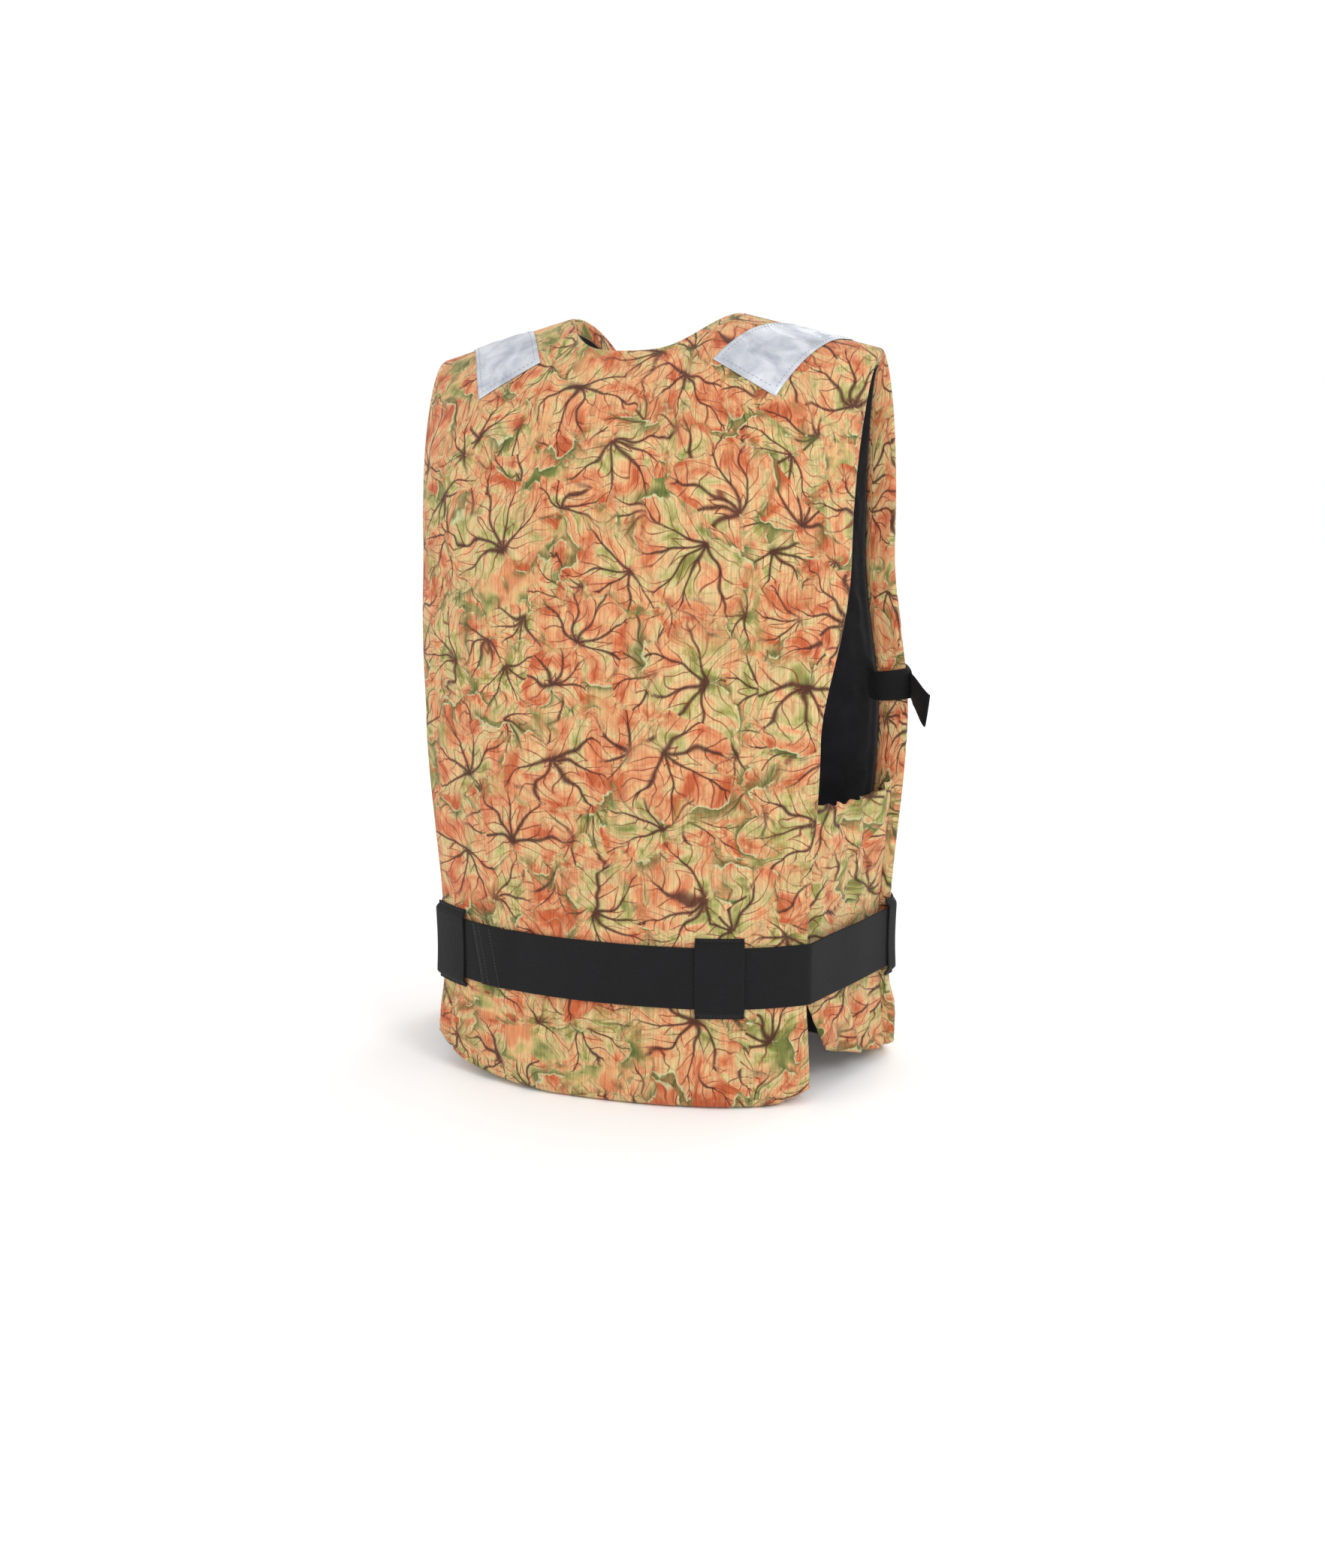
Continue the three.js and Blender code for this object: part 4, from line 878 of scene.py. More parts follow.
def girdle(angle, height):
    """The belt's line round the vest: 0 is the middle of the back and 180 the zip, positive to the left."""
    angle, rise = np.broadcast_arrays(np.asarray(angle, float), np.asarray(height, float) / chest_height)
    side, turn = np.where(angle < 0, -1.0, 1.0), np.abs(angle)
    rear_edge, fore_edge = back_edge(rise), 180 - front_edge_angle
    share = np.clip((turn - rear_edge) / (fore_edge - rear_edge), 0, 1)[..., None]
    behind = skin(back, side * np.minimum(turn, rear_edge), rise)
    before = skin(front, side * np.minimum(180 - turn, front_edge_angle), rise)
    point = behind[0] + (before[0] - behind[0]) * share
    return point, -unit(behind[1] + (before[1] - behind[1]) * share)


def girdle_angle(x, height):
    return np.sign(x) * (180 - np.abs(angle_at(front, x, height / chest_height)))


def band(name, point, outward, thickness, body="vest", nodes=(), material=None):
    """Webbing with rounded edges: `point` is its inner face, in rows across its width."""
    rows, columns, _ = point.shape
    across = np.concatenate([np.zeros((1, columns)), np.linalg.norm(np.diff(point, axis=0), axis=2)]).cumsum(0)
    along = np.concatenate([np.zeros((rows, 1)), np.linalg.norm(np.diff(point, axis=1), axis=2)], 1).cumsum(1)
    edge = np.minimum(across, across[-1:] - across)
    drop = rounding(edge, webbing_edge)[..., None]
    piece, rim = closed_slab(name, point + outward * (thickness - drop), point + outward * drop)
    place = np.stack([along, across, np.zeros(across.shape)], -1).reshape(-1, 3)
    paint_place(piece, np.concatenate([place, place + (0, 0, 5)]) * MM)
    piece.data.materials.append(material or webbing_cloth)
    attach(piece, body)
    if nodes:
        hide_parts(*nodes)
    return piece


def webbing_rows(low, high):
    near = np.array([0, 0.15, 0.5])
    return np.concatenate([low + near, np.linspace(low + 2, high - 2, 9), high - near[::-1]])


def belt_part(name, start, end, gap, nodes, lapped=False, low=belt_bottom, high=belt_top):
    """A stretch of belt between two angles. The lapped half steps out over the other one and ends on a slant."""
    count = int(abs(end - start) / 1.1) + 2
    share, height = np.meshgrid(np.linspace(0, 1, count), webbing_rows(low, high))
    level = (height - low) / (high - low)
    last = end + (overlap_slant * (2 * level - 1) if lapped else 0)
    angle = start + (last - start) * share
    point, outward = girdle(angle, height)
    lift = np.full(angle.shape, float(gap))
    if lapped:
        stepped = ease(angle, overlap_angle - 2 * overlap_length, overlap_angle - overlap_length)
        lift += (belt_thickness + 0.4) * stepped
    wave = wrinkle((point * (1, 1, 0.25)).reshape(-1, 3), 34, 9.1).reshape(angle.shape) * 0.5
    cupped = 0.5 * (2 * level - 1) ** 2
    point = point + outward * (lift + np.maximum(wave, -0.3) - cupped + 0.3)[..., None]
    band(name, point, outward, belt_thickness, nodes=nodes)
    return point, outward


left_end = girdle_angle(buckle_left + 12, belt_middle)
right_end = girdle_angle(buckle_right - 12, belt_middle)
belt_part("waist_belt_band_left", overlap_angle - 7, left_end, belt_gap, ["waist_belt_left"])
lap_point, lap_out = belt_part("waist_belt_band_right", right_end, overlap_angle, belt_gap,
                               ["waist_belt_right"], True)
tail_gap = belt_far + 0.8
belt_part("waist_belt_band_tail", girdle_angle(-118, belt_middle), girdle_angle(-26, belt_middle), tail_gap,
          ["waist_belt_tail"])


def over_bar(name, side, edge_x, webbing_low, webbing_high, base, nodes=()):
    """Webbing that climbs from the strap over a buckle's end bar and down into its slot."""
    top = buckle_lift + buckle_thickness
    route = np.array([
        (16, base), (11, base + 0.4), (6, base + 3.2), (1.8, top - 3.6), (-0.4, top - 0.2),
        (-2.6, top + 0.7), (-4.6, top + 0.2), (-6.2, top - 2.2), (-7, top - 5), (-7, top - 9),
    ])
    fine = np.linspace(0, len(route) - 1, 46)
    smooth = np.array([np.interp(fine, range(len(route)), route[:, k]) for k in (0, 1)]).T
    for _ in range(6):
        smooth[1:-1] = (smooth[:-2] + 2 * smooth[1:-1] + smooth[2:]) / 4
    step = unit(np.gradient(smooth, axis=0))
    turned = np.stack([step[:, 1], -step[:, 0]], 1)
    rows = webbing_rows(webbing_low, webbing_high)
    x = edge_x + side * smooth[:, 0]
    beyond = outer_point(front, angle_at(front, x, belt_middle / chest_height), belt_middle / chest_height)[:, 1]
    y = np.where(side * x > side * edge_x, beyond, front_y) - smooth[:, 1]
    point = np.stack([
        np.tile(x, (len(rows), 1)), np.tile(y, (len(rows), 1)), np.tile(rows[:, None], (1, len(x))),
    ], -1)
    outward = np.stack([-side * turned[:, 0], turned[:, 1], 0 * step[:, 0]], 1)
    outward = np.tile(-outward * np.sign(outward[0, 1]), (len(rows), 1, 1))
    band(name, point, outward, 1.3, nodes=nodes)


over_bar("waist_belt_fold_left", 1, buckle_left, belt_bottom, belt_top, belt_gap)
over_bar("waist_belt_fold_right", -1, buckle_right, belt_bottom, belt_top, belt_gap)

# ---- Belt loops -------------------------------------------------------------------------------------------
# Short lengths of the same webbing, stood over the belt and sewn down above and below it with a bartack.
loop_width, loop_margin, loop_thickness = 38, 7.5, 1.4
loop_places = {"back_left": 43, "back_right": -25, "front_left": 104, "front_right": -104}
bar_lines = []


def standing_band(name, at, width, low, high, inner, thickness, body="vest", nodes=(), foot=6.0):
    """A loop that leaves the cloth at `low`, stands `inner` off it and comes back at `high`."""
    levels = np.concatenate([np.linspace(low, low + foot, 7), np.linspace(low + foot, high - foot, 15)[1:-1],
                             np.linspace(high - foot, high, 7)])
    stand = 0.4 + (inner - 0.4) * ease(np.minimum(levels - low, high - levels), foot * 0.35, foot)
    aside = np.concatenate([[-0.5, -0.485, -0.46], np.linspace(-0.42, 0.42, 9), [0.46, 0.485, 0.5]]) * width
    point, outward = at(aside[:, None], levels[None, :])
    outward = unit(outward * (1, 1, 0))
    point = point + outward * stand[None, :, None]
    slope = np.gradient(stand, levels)
    tilted = outward.copy()
    tilted[..., 2] -= slope[None, :]
    band(name, point, unit(tilted), thickness, body=body, nodes=nodes)
    return point, outward


def at_girdle(middle):
    """Places round the belt's line, by distance from an angle and by height."""
    span = np.linspace(middle - 16, middle + 16, 65)
    arc = np.concatenate([[0], np.linalg.norm(np.diff(girdle(span, belt_middle)[0], axis=0), axis=1)]).cumsum()
    return lambda aside, height: girdle(np.interp(aside + np.interp(middle, span, arc), arc, span), height)


def bar_line(at, half, height, lift):
    """A row of stitches across a piece of webbing."""
    point, outward = at(np.linspace(-half, half, 12), np.full(12, float(height)))
    return point + outward * lift, outward


for word, angle in loop_places.items():
    low, high = belt_bottom - loop_margin, belt_top + loop_margin
    at = at_girdle(angle)
    standing_band("belt_loop_band_" + word, at, loop_width, low, high, belt_far + 0.9, loop_thickness,
                  nodes=["belt_loop_" + word])
    for height in (low + 1.6, high - 1.6):
        bar_lines.append(bar_line(at, loop_width / 2 - 2.5, height, 0.4 + loop_thickness))
seam = lap_point.shape[1]
for back_by in (2, 5):
    column = seam - 1 - back_by
    bar_lines.append((lap_point[1:-1, column] + lap_out[1:-1, column] * belt_thickness, lap_out[1:-1, column]))

# ---- Chest strap ------------------------------------------------------------------------------------------
# Black webbing, 25 mm wide. Each half is sewn inside its front panel, wraps round the armhole edge and runs to
# the buckle; the spare end of the right half is folded back, held by an elastic keeper, and hangs free.
strap_thickness, strap_gap = 1.5, 1.0
strap_middle = strap_bottom + strap_width / 2
tail_reach, tail_droop = 24, 12
wrap_end = front_edge_angle * 0.875**1.3


def strap_half(name, side, end_x, nodes):
    start = float(np.abs(angle_at(front, end_x, strap_middle / chest_height)))
    rows = webbing_rows(strap_bottom, strap_top)[:, None]
    run = np.linspace(start, front_edge_angle - 2.2, 60)[None, :]
    point, inward = skin(front, side * run, rows / chest_height)
    outer = point - inward * strap_gap
    # Round the padded edge, on a half ellipse.
    edge, inward_edge = skin(front, side * np.full((1, 1), float(front_edge_angle)), rows / chest_height)
    past = past_edge(front, side * np.full((1, 1), float(front_edge_angle)), rows / chest_height)
    turn = np.radians(np.linspace(-90, 90, 26))[None, :, None]
    middle = edge + inward_edge * pad_thickness / 2 - past * 5.5
    half_depth = pad_thickness / 2 + strap_gap
    wrap = middle + past * (7.2 * np.cos(turn)) + inward_edge * (half_depth * np.sin(turn))
    wrap_out = unit(past * (np.cos(turn) / 7.2) + inward_edge * (np.sin(turn) / half_depth))
    back_run = np.linspace(front_edge_angle - 6, wrap_end, 10)[None, :]
    inside, inward_back = skin(front, side * back_run, rows / chest_height)
    inside = inside + inward_back * (pad_thickness + 1.2)
    point = np.concatenate([outer, wrap, inside], 1)
    outward = np.concatenate([-inward, wrap_out, inward_back], 1)
    band(name, point, outward, strap_thickness, nodes=nodes)


strap_half("chest_strap_band_left", 1, buckle_left + 12, ["chest_strap_left"])
strap_half("chest_strap_band_right", -1, buckle_right - 12, ["chest_strap_right"])
over_bar("chest_strap_fold_left", 1, buckle_left, strap_bottom, strap_top, strap_gap)
over_bar("chest_strap_fold_right", -1, buckle_right, strap_bottom, strap_top, strap_gap)

tail_start = float(np.abs(angle_at(front, -26, strap_middle / chest_height)))
rows = webbing_rows(strap_bottom, strap_top)[:, None]
run = np.linspace(tail_start, front_edge_angle, 70)
reach = np.linspace(0, tail_reach, 20)[1:]
angles = np.concatenate([run, np.full(len(reach), float(front_edge_angle))])[None, :]
free = np.concatenate([np.zeros(len(run)), reach])
point, inward = skin(front, -angles, rows / chest_height)
away = past_edge(front, -np.full((1, 1), float(front_edge_angle)), np.full((1, 1), strap_middle / chest_height))
point = point + away * free[None, :, None]
point[..., 0] -= 0.45 * free
reached = np.concatenate([run * 0, reach]) / tail_reach
flop = ease(np.arange(len(free)), len(free) - 34, len(free) - 1)
point[..., 2] -= tail_droop * flop + 5 * reached**2
point[..., 1] += 3.5 * np.sin(reached * 2.6)
twist = 0.22 * reached * (rows - strap_middle)
outward = -inward
point = point + outward * (strap_gap + strap_thickness + 0.8 + 0.3 * np.sin(free / 5) + twist)[..., None]
band("chest_strap_band_tail", point, outward, strap_thickness, nodes=["chest_strap_tail"])

# ---- Strap keepers ----------------------------------------------------------------------------------------
# Narrow loops of woven elastic that slide along the straps and hold the spare ends down.
keeper_width, keeper_thickness = 12, 1.2
keepers = (
    ("waist_keeper", -90, belt_bottom, belt_top, tail_gap + belt_thickness + 0.6),
    ("chest_keeper", -100, strap_bottom, strap_top, strap_gap + 2 * strap_thickness + 1.4),
)
for name, x, low, high, inner in keepers:
    middle = angle_at(front, x, (low + high) / 2 / chest_height)
    span = np.linspace(middle - 8, middle + 8, 41)
    line = skin(front, span, (low + high) / 2 / chest_height)[0]
    arc = np.concatenate([[0], np.linalg.norm(np.diff(line, axis=0), axis=1)]).cumsum()

    def at_keeper(aside, height, span=span, arc=arc, middle=middle):
        angle = np.interp(aside + np.interp(middle, span, arc), arc, span)
        point, inward = skin(front, angle + 0 * height, height / chest_height + 0 * aside)
        return point, -inward

    standing_band(name + "_band", at_keeper, keeper_width, low - 3, high + 3, inner, keeper_thickness, body=name,
                  nodes=[name], foot=3.0)

# ---- Bartacks on the webbing ------------------------------------------------------------------------------
# Dense rows of black thread hold the loops' feet and the belt's overlap.
stitches("webbing_stitching", bar_lines, "vest", black_thread, 2.2, 0.5, 0.8)

# ---- Side-release buckles ---------------------------------------------------------------------------------
# Moulded black acetal. The socket half is on the left and the plug half on the right; the plug's two arms
# spring out in the socket's side windows and are squeezed to let go.
def acetal(name, code, roughness):
    """Injection-moulded acetal: even and waxy, with the mould's fine spark-eroded grain."""
    material, tree, shader = new_material(name)
    place = node(tree, "TexCoord").outputs["Object"]
    grain = node(tree, "TexNoise", {"Vector": place, "Scale": 1600, "Detail": 2})
    flow = node(tree, "TexNoise", {"Vector": place, "Scale": 60, "Detail": 3})
    tone = node(tree, "MixRGB", [flow.outputs["Fac"], linear(code), linear("#26262A")])
    tree.links.new(tone.outputs[0], shader.inputs["Base Color"])
    gloss = node(tree, "MapRange", {"Value": flow.outputs["Fac"], "To Min": roughness - 0.06,
                                    "To Max": roughness + 0.08})
    tree.links.new(gloss.outputs[0], shader.inputs["Roughness"])
    bump = node(tree, "Bump", {"Strength": 0.25, "Distance": 0.0001, "Height": grain.outputs["Fac"]})
    tree.links.new(bump.outputs[0], shader.inputs["Normal"])
    return material


buckle_acetal = acetal("moulded_black_acetal", "#17171A", 0.42)
zip_acetal = acetal("satin_black_acetal", "#1A1A1D", 0.36)


def moulded(name, material, bevel, body="vest", ribs=()):
    """A piece with the CAD node's shape, softened edges and raised ribs, each a low and a high corner."""
    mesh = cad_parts[name].data.copy()
    piece = bpy.data.objects.new(name + "_moulding", mesh)
    bpy.context.scene.collection.objects.link(piece)
    mesh.materials.clear()
    mesh.materials.append(material)
    for layer in list(mesh.uv_layers):
        mesh.uv_layers.remove(layer)
    shape = bmesh.new()
    shape.from_mesh(mesh)
    bmesh.ops.remove_doubles(shape, verts=shape.verts, dist=2e-6)
    bmesh.ops.dissolve_limit(shape, angle_limit=math.radians(2), verts=shape.verts, edges=shape.edges)
    shape.to_mesh(mesh)
    shape.free()
    bpy.ops.object.select_all(action="DESELECT")
    for low, high in ribs:
        low, high = to_frame(low), to_frame(high)
        bpy.ops.mesh.primitive_cube_add(size=1, location=(low + high) / 2, scale=np.abs(high - low))
        rib = bpy.context.object
        bpy.ops.object.transform_apply(location=True, rotation=True, scale=True)
        rib.data.materials.append(material)
        bpy.context.view_layer.objects.active = piece
        piece.select_set(True)
        rib.select_set(True)
        bpy.ops.object.join()
        bpy.ops.object.select_all(action="DESELECT")
    bpy.context.view_layer.objects.active = piece
    piece.select_set(True)
    soften = piece.modifiers.new("soften", "BEVEL")
    soften.width = bevel * MM
    soften.segments = 3
    soften.limit_method = "ANGLE"
    soften.angle_limit = math.radians(25)
    soften.use_clamp_overlap = True
    bpy.ops.object.modifier_apply(modifier="soften")
    bpy.ops.object.shade_smooth_by_angle(angle=math.radians(40))
    bpy.ops.object.select_all(action="DESELECT")
    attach(piece, body)
    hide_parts(name)
    return piece


buckle_face = front_y - buckle_lift - buckle_thickness
rib_height = 0.5
for prefix, webbing, middle in (("waist", belt_width, belt_middle), ("chest", strap_width, strap_middle)):
    half = webbing / 2 + 6
    socket_ribs = [((27 + 2.6 * k, buckle_face - rib_height, middle - half + 7),
                    (28 + 2.6 * k, buckle_face + 1, middle + half - 7)) for k in range(3)]
    socket_ribs.append(((3, buckle_face - rib_height, middle - half + 3),
                        (4.2, buckle_face + 1, middle + half - 3)))
    plug_ribs = [((-6.4 + 2.2 * k, buckle_face - rib_height, middle - half + 6),
                  (-5.4 + 2.2 * k, buckle_face + 1, middle + half - 6)) for k in range(3)]
    moulded(prefix + "_buckle_socket", buckle_acetal, 0.9, ribs=socket_ribs)
    moulded(prefix + "_buckle_plug", buckle_acetal, 0.9, ribs=plug_ribs)
    for word, side in (("upper", 1), ("lower", -1)):
        depth = buckle_thickness / 2 - 2.4 - 0.6
        y = buckle_face + buckle_thickness / 2
        grips = []
        for k in range(4):
            ends = sorted((middle + side * (half - 0.9), middle + side * (half + 0.7)))
            grips.append(((12.2 + 1.7 * k, y - depth, ends[0]), (13 + 1.7 * k, y + depth, ends[1])))
        moulded(f"{prefix}_buckle_arm_{word}", buckle_acetal, 0.5, f"{prefix}_arm_{word}", grips)

# ---- Zip --------------------------------------------------------------------------------------------------
# A moulded-tooth zip, with teeth 3.2 mm apart on woven tapes, a retainer box at its foot and a locking slider
# with a plain pull.
chain_half_width, chain_thickness = 3.2, 3.0
zip_bottom, zip_top = 20.5, 474
tooth_pitch, tooth_tall = 3.2, 1.9
tooth_reach = 0.2  # the noses end this far from the middle of the chain

for word, side in (("left", 1), ("right", -1)):
    # One tooth: a cord-gripping body at the tape, a waist, and a rounded nose, bevelled.
    bpy.ops.object.select_all(action="DESELECT")
    bpy.ops.mesh.primitive_cube_add(size=1, location=(0, 0, 0), scale=(1, chain_thickness, tooth_tall))
    master = bpy.context.object
    bpy.ops.object.transform_apply(location=True, rotation=True, scale=True)
    shape = bmesh.new()
    shape.from_mesh(master.data)
    bmesh.ops.subdivide_edges(shape, edges=[e for e in shape.edges if abs(e.verts[0].co.x - e.verts[1].co.x) > 0.5],
                              cuts=3)
    stations = {-0.5: (chain_half_width, 1.0), -0.25: (2.2, 0.95), 0.0: (1.6, 0.62), 0.25: (0.9, 0.8),
                0.5: (tooth_reach, 0.55)}
    for vertex in shape.verts:
        x, swell = stations[round(vertex.co.x * 4) / 4]
        vertex.co = (x * side, vertex.co.y * swell, vertex.co.z * swell)
    bmesh.ops.recalc_face_normals(shape, faces=shape.faces)
    shape.to_mesh(master.data)
    shape.free()
    corners = np.array([v.co for v in master.data.vertices])
    outlines = [list(face.vertices) for face in master.data.polygons]
    bpy.data.objects.remove(master)
    offset = 0 if side > 0 else tooth_pitch / 2
    points, faces = [], []
    for z in np.arange(zip_bottom + 1.4 + offset, zip_top - 1, tooth_pitch):
        faces += [[index + len(points) for index in outline] for outline in outlines]
        points += (corners + (0, zip_y, z)).tolist()
    # The cord that the teeth are moulded round.
    base = len(points)
    for z in (zip_bottom, zip_top):
        for turn in range(8):
            angle = turn * math.tau / 8
            points.append((side * (2.9 + 0.55 * math.cos(angle)), zip_y + 1.15 * math.sin(angle), z))
    faces += [(base + k, base + (k + 1) % 8, base + 8 + (k + 1) % 8, base + 8 + k) for k in range(8)]
    faces += [[base + k for k in range(7, -1, -1)], [base + 8 + k for k in range(8)]]
    teeth = mesh_piece("zip_tooth_row_" + word, points, faces, smooth=False)
    face_outwards(teeth)
    teeth.data.materials.append(zip_acetal)
    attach(teeth, "vest")
    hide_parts("zip_teeth_" + word)

    # The tape, 1.2 mm thick, with a raised rib each side of the stitching.
    x = side * np.concatenate([[3.45, 3.6], np.linspace(3.9, 6.5, 9), [6.7]])
    z = np.linspace(zip_bottom - 8, zip_top, 120)
    relief = 0.18 * np.sin(np.abs(x) * 5.2)
    point = np.stack([
        np.tile(x, (len(z), 1)), np.full((len(z), len(x)), zip_y + 0.6), np.tile(z[:, None], (1, len(x))),
    ], -1)
    outward = np.tile((0.0, -1.0, 0.0), (len(z), len(x), 1))
    front_side = point + outward * (1.05 + relief)[None, :, None]
    tape, _ = closed_slab("zip_tape_woven_" + word, front_side, point)
    place = np.stack([point[..., 2], point[..., 0], 0 * point[..., 2]], -1).reshape(-1, 3)
    paint_place(tape, np.concatenate([place, place]) * MM)
    tape.data.materials.append(webbing_cloth)
    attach(tape, "vest")
    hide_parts("zip_tape_" + word)

moulded("zip_retainer", zip_acetal, 0.5)
moulded("zip_slider", zip_acetal, 0.45, "zip_slider")
pull_low, pull_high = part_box("zip_pull")
pull_centre = (np.array(pull_low) + np.array(pull_high)) / 2 / MM - shift
pull_foot = pull_low.z / MM
grip_ribs = [
    ((-2.6, pull_centre[1] - 1.0, pull_foot + 2.5 + 2.2 * k),
     (2.6, pull_centre[1] + 1.0, pull_foot + 3.5 + 2.2 * k))
    for k in range(6)
]
moulded("zip_pull", zip_acetal, 0.3, "zip_pull", grip_ribs)

# ---- Pockets ----------------------------------------------------------------------------------------------
# A patch pocket of the printed cloth on each front, gusseted at its sides and foot, hemmed at its mouth and
# closed by a flap that is sewn to the panel above it.
pocket_inner, pocket_outer = 38, 138
pocket_bottom, pocket_top = 150, 262
pocket_depth, pocket_cloth = 13.2, 1.2
pocket_hem = 11
flap_drop, flap_rise = 46, 8
flap_corner = 14


def cover_height(panel, points, outward):
    """How far the finished cover stands off the plain skin at points, in millimetres."""
    tree = bvh[panel]
    found = []
    for p, n in zip(points.reshape(-1, 3), outward.reshape(-1, 3)):
        start = Vector(to_frame(p + n * 20))
        hit = tree.ray_cast(start, Vector(-n))
        found.append(20 - hit[3] / MM if hit[0] is not None and hit[3] < 0.03 else 0.0)
    return np.array(found).reshape(points.shape[:2])


bvh = {}
for name, panel in panels.items():
    mesh = panel["piece"].data
    bvh[name] = BVHTree.FromPolygons([v.co for v in mesh.vertices], [tuple(f.vertices) for f in mesh.polygons])


def front_face(side, x, height):
    rise = height / chest_height
    point, inward = skin(front, side * angle_at(front, x, rise), rise)
    return point, -inward


def spaced(low, high, near, count):
    """Values from low to high, with extra ones close to each end."""
    near = np.array(near)
    between = np.linspace(low + near[-1], high - near[-1], count)[1:-1]
    return np.concatenate([low + near, between, high - near[::-1]])


pocket_lines = {"vest": [], "pocket_flap_left": [], "pocket_flap_right": []}
for word, side in (("left", 1), ("right", -1)):
    xs = spaced(pocket_inner, pocket_outer, (0, 0.3, 0.9, 2, 3.6, 6, 9), 20)
    zs = np.concatenate([pocket_bottom + np.array([0, 0.3, 0.9, 2, 3.6, 6, 9]), np.linspace(164, pocket_top, 24)])
    x, z = np.meshgrid(xs, zs)
    point, outward = front_face(side, x, z)
    edge = np.minimum(np.minimum(x - pocket_inner, pocket_outer - x), z - pocket_bottom)
    wall = (1 - (1 - np.clip(edge / 8, 0, 1)) ** 2.6) ** (1 / 2.6)
    crown = 1.6 * np.sin(np.pi * (x - pocket_inner) / (pocket_outer - pocket_inner)) * ease(edge, 4, 30)
    loose = wrinkle((point * (1, 1, 0.8)).reshape(-1, 3), 24, 5.5 * side + 9).reshape(x.shape)
    loose = loose * 1.3 * ease(edge, 3, 18)
    mouth = 0.8 * np.exp(-(((z - pocket_top + 1.5) / 1.6) ** 2))
    mouth = mouth - 0.5 * np.exp(-(((z - pocket_top + pocket_hem) / 1.6) ** 2))
    stand = pocket_cloth + 0.3 + (pocket_depth - pocket_cloth - 0.3) * wall
    stand = stand + (crown - 1.4) * wall + loose + mouth * wall
    resting = cover_height("front_" + word, point, outward)
    foot = np.maximum(resting, 0) * (1 - wall)
    spot = point + outward * (np.minimum(stand, pocket_depth + 0.3) + foot)[..., None]
    normal = np.cross(np.gradient(spot, axis=1), np.gradient(spot, axis=0))
    normal = unit(normal * np.sign((normal * outward).sum(-1, keepdims=True)))
    place = np.stack([x * side, z, 0 * x], -1) + (870 * side, 33, 0)
    cloth_sheet("pocket_cloth_" + word, spot, normal, pocket_cloth, place, leaf_print, "vest",
                ["pocket_" + word])
    row = int(np.argmin(np.abs(zs - (pocket_top - pocket_hem))))
    inside = slice(5, -5)
    pocket_lines["vest"].append((spot[row, inside] + normal[row, inside] * 0.1, normal[row, inside]))

    # The flap: from its seam over the pocket's mouth, then down, with round corners.
    seam_z, tip_z = pocket_top + flap_rise, pocket_top + flap_rise - flap_drop
    us = spaced(pocket_inner - 3, pocket_outer + 3, (0, 0.4, 1.5, 4), 22)
    over = np.concatenate([np.linspace(0, 1, 12)[:-1], 1 + np.linspace(0, 1, 24)])
    u, v = np.meshgrid(us, over)
    turn = np.clip(v, 0, 1) * math.pi / 2
    hang = np.clip(v - 1, 0, 1)
    side_gap = np.minimum(u - us[0], us[-1] - u)
    round_up = flap_corner * (1 - np.sqrt(np.maximum(1 - (1 - np.clip(side_gap / flap_corner, 0, 1)) ** 2, 0)))
    bend = 9.0
    z = np.where(v <= 1, seam_z - 1.5 - bend * (1 - np.cos(turn)) * 0.6, 0.0)
    low = seam_z - 1.5 - bend * 0.6
    z = np.where(v > 1, low + (tip_z + round_up - low) * hang, z)
    out = 1.6 + (pocket_depth + 1.4) * np.sin(turn) ** 0.9 + 1.1 * np.sin(hang * 2.2)
    point, outward = front_face(side, u, z)
    slack = wrinkle(point.reshape(-1, 3), 26, 12.5 + side).reshape(u.shape) * 0.7 * hang
    curled = 0.9 * np.exp(-((np.minimum(side_gap, (1 - hang) * 40) / 1.2) ** 2)) * (hang > 0)
    spot = point + outward * (out + np.maximum(slack, -0.5) + 0.9 - curled)[..., None]
    normal = np.cross(np.gradient(spot, axis=1), np.gradient(spot, axis=0))
    normal = unit(normal * np.sign((normal * (outward + (0, 0, 0.4))).sum(-1, keepdims=True)))
    place = np.stack([u * side, v * 23, 0 * u], -1) + (870 * side, 160, 0)
    body = "pocket_flap_" + word
    cloth_sheet("pocket_flap_cloth_" + word, spot, normal, 1.5, place, leaf_print, body, [body])
    border = [
        (spot[14:-3, 4], normal[14:-3, 4]), (spot[14:-3, -5], normal[14:-3, -5]),
        (spot[-3, 4:-4], normal[-3, 4:-4]), (spot[3, 3:-3], normal[3, 3:-3]),
    ]
    pocket_lines[body] += border
for body, lines in pocket_lines.items():
    stitches("stitching_" + body, lines, body, tan_thread, 2.8, 1.4, 0.7)

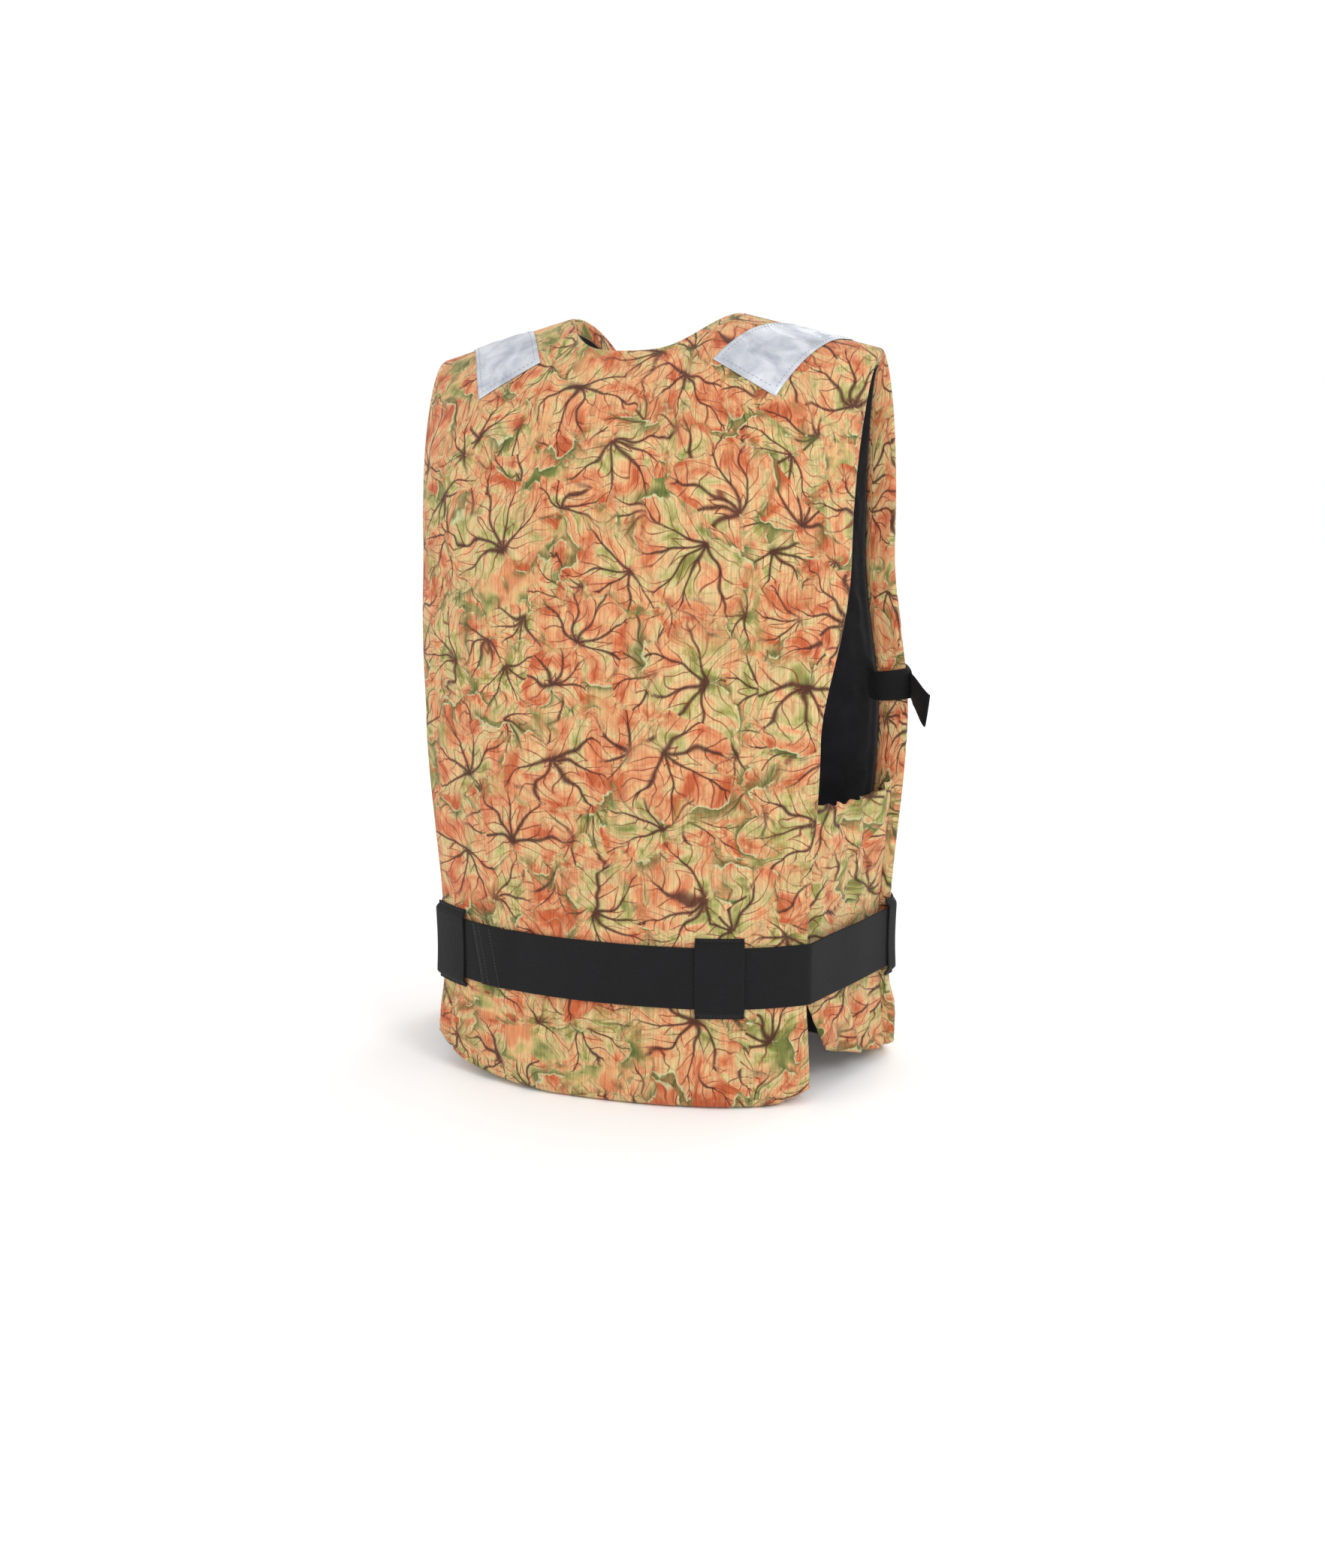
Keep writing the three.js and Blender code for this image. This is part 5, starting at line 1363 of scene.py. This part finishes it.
# ---- Reflective patches -----------------------------------------------------------------------------------
# Silver retroreflective tape: glass beads on a grey cloth backing, sewn over each shoulder and across the
# upper chest. It creases where the shoulder bends, and flashes where it faces a lamp.
def bead_film():
    """Glass-bead film: a fine satin silver that breaks into bright sparkles, dulled where it is creased."""
    material, tree, shader = new_material("glass_bead_film")
    place = node(tree, "TexCoord").outputs["Object"]
    shader.inputs["Metallic"].default_value = 0.55
    beads = node(tree, "TexVoronoi", {"Vector": place, "Scale": 900})
    creases = node(tree, "TexNoise", {"Vector": place, "Scale": 42, "Detail": 3, "Distortion": 0.8})
    fold = node(tree, "MapRange", {"Value": creases.outputs["Fac"], "From Min": 0.35, "From Max": 0.65})
    tone = node(tree, "MixRGB", [fold.outputs[0], linear("#A9AEB8"), linear("#D3D6DC")])
    speck = node(tree, "MixRGB", [0.12, tone, beads.outputs["Color"]], blend_type="SOFT_LIGHT")
    tree.links.new(speck.outputs[0], shader.inputs["Base Color"])
    gloss = node(tree, "MapRange", {"Value": creases.outputs["Fac"], "To Min": 0.24, "To Max": 0.5})
    tree.links.new(gloss.outputs[0], shader.inputs["Roughness"])
    ripple = node(tree, "TexNoise", {"Vector": place, "Scale": 26, "Detail": 2, "Distortion": 1.4})
    coarse = node(tree, "Bump", {"Strength": 0.55, "Distance": 0.004, "Height": ripple.outputs["Fac"]})
    fine = node(tree, "Bump", {"Strength": 0.12, "Distance": 0.0003, "Height": beads.outputs["Distance"],
                               "Normal": coarse.outputs[0]})
    tree.links.new(fine.outputs[0], shader.inputs["Normal"])
    return material


silver_film = bead_film()
patch_width, patch_inset, patch_slant = 50, 26, 38
patch_skew = 0.1
patch_back_rise, patch_front_rise = 1.5, 1.6
patch_cloth = 0.5
patch_lift = 0.45  # it lies this far off the cover
chest_patch_bottom, chest_patch_height, chest_patch_inner = 362, 25, 84
patch_lines = []


def lay_patch(name, point, outward, covers, nodes):
    """A sheet that lies on the finished covers."""
    resting = np.max([cover_height(cover, point, outward) for cover in covers], axis=0)
    smoothed = resting.copy()
    for _ in range(3):
        padded_up = np.pad(smoothed, 1, mode="edge")
        smoothed = (padded_up[:-2, 1:-1] + padded_up[2:, 1:-1] + padded_up[1:-1, :-2] + padded_up[1:-1, 2:]) / 4
    resting = np.maximum(resting, smoothed)
    rows, columns = resting.shape
    inner = ease(np.minimum.outer(np.minimum(np.arange(rows), np.arange(rows)[::-1]),
                                  np.minimum(np.arange(columns), np.arange(columns)[::-1])), 0, 5)
    slack = np.abs(wrinkle(point.reshape(-1, 3), 15, 21.3)).reshape(resting.shape) * 0.9 * inner
    spot = point + outward * (resting + patch_lift + patch_cloth + slack)[..., None]
    across = np.linalg.norm(np.diff(spot, axis=1), axis=2).cumsum(1)
    along = np.linalg.norm(np.diff(spot, axis=0), axis=2).cumsum(0)
    place = np.zeros(spot.shape)
    place[:, 1:, 0], place[1:, :, 1] = across, along
    cloth_sheet(name, spot, outward, patch_cloth, place, silver_film, "vest", nodes)
    for path in (2, -3):
        patch_lines.append((spot[2:-2, path] + 0.05 * outward[2:-2, path], outward[2:-2, path]))
        patch_lines.append((spot[path, 2:-2] + 0.05 * outward[path, 2:-2], outward[path, 2:-2]))


shoulder_end = abs(float(outer_point(back, back_edge(2.0), 2.0)[0]))
for word, side in (("left", 1), ("right", -1)):
    share, over = np.meshgrid(np.linspace(0, 1, 30), np.linspace(-1, 1, 84))
    lowest = patch_back_rise + patch_skew * (1 - share)
    rise = np.where(over < 0, 2 + (2 - lowest) * over, 2 - (2 - patch_front_rise) * over)
    x = shoulder_end - patch_inset - patch_width * (1 - share) - patch_slant * np.maximum(-over, 0)
    behind = skin(back, angle_at(back, side * x, rise), rise)
    before = skin(front, angle_at(front, side * x, rise), rise)
    is_back = (over < 0)[..., None]
    point = np.where(is_back, behind[0], before[0])
    outward = -np.where(is_back, behind[1], before[1])
    for _ in range(6):
        wide = np.concatenate([outward[:1], outward, outward[-1:]])
        outward = unit(wide[:-2] + wide[1:-1] + wide[2:])
    lay_patch("shoulder_patch_" + word, point, outward, ["back", "front_" + word], ["shoulder_reflector_" + word])

    inner = float(angle_at(front, chest_patch_inner, chest_patch_bottom / chest_height))
    angle, height = np.meshgrid(np.linspace(inner, front_edge_angle - 3, 46),
                                np.linspace(chest_patch_bottom, chest_patch_bottom + chest_patch_height, 14))
    point, inward = skin(front, side * angle, height / chest_height)
    lay_patch("chest_patch_" + word, point, -inward, ["front_" + word], ["chest_reflector_" + word])
stitches("patch_stitching", patch_lines, "vest", grey_thread, 2.6, 1.2, 0.6)
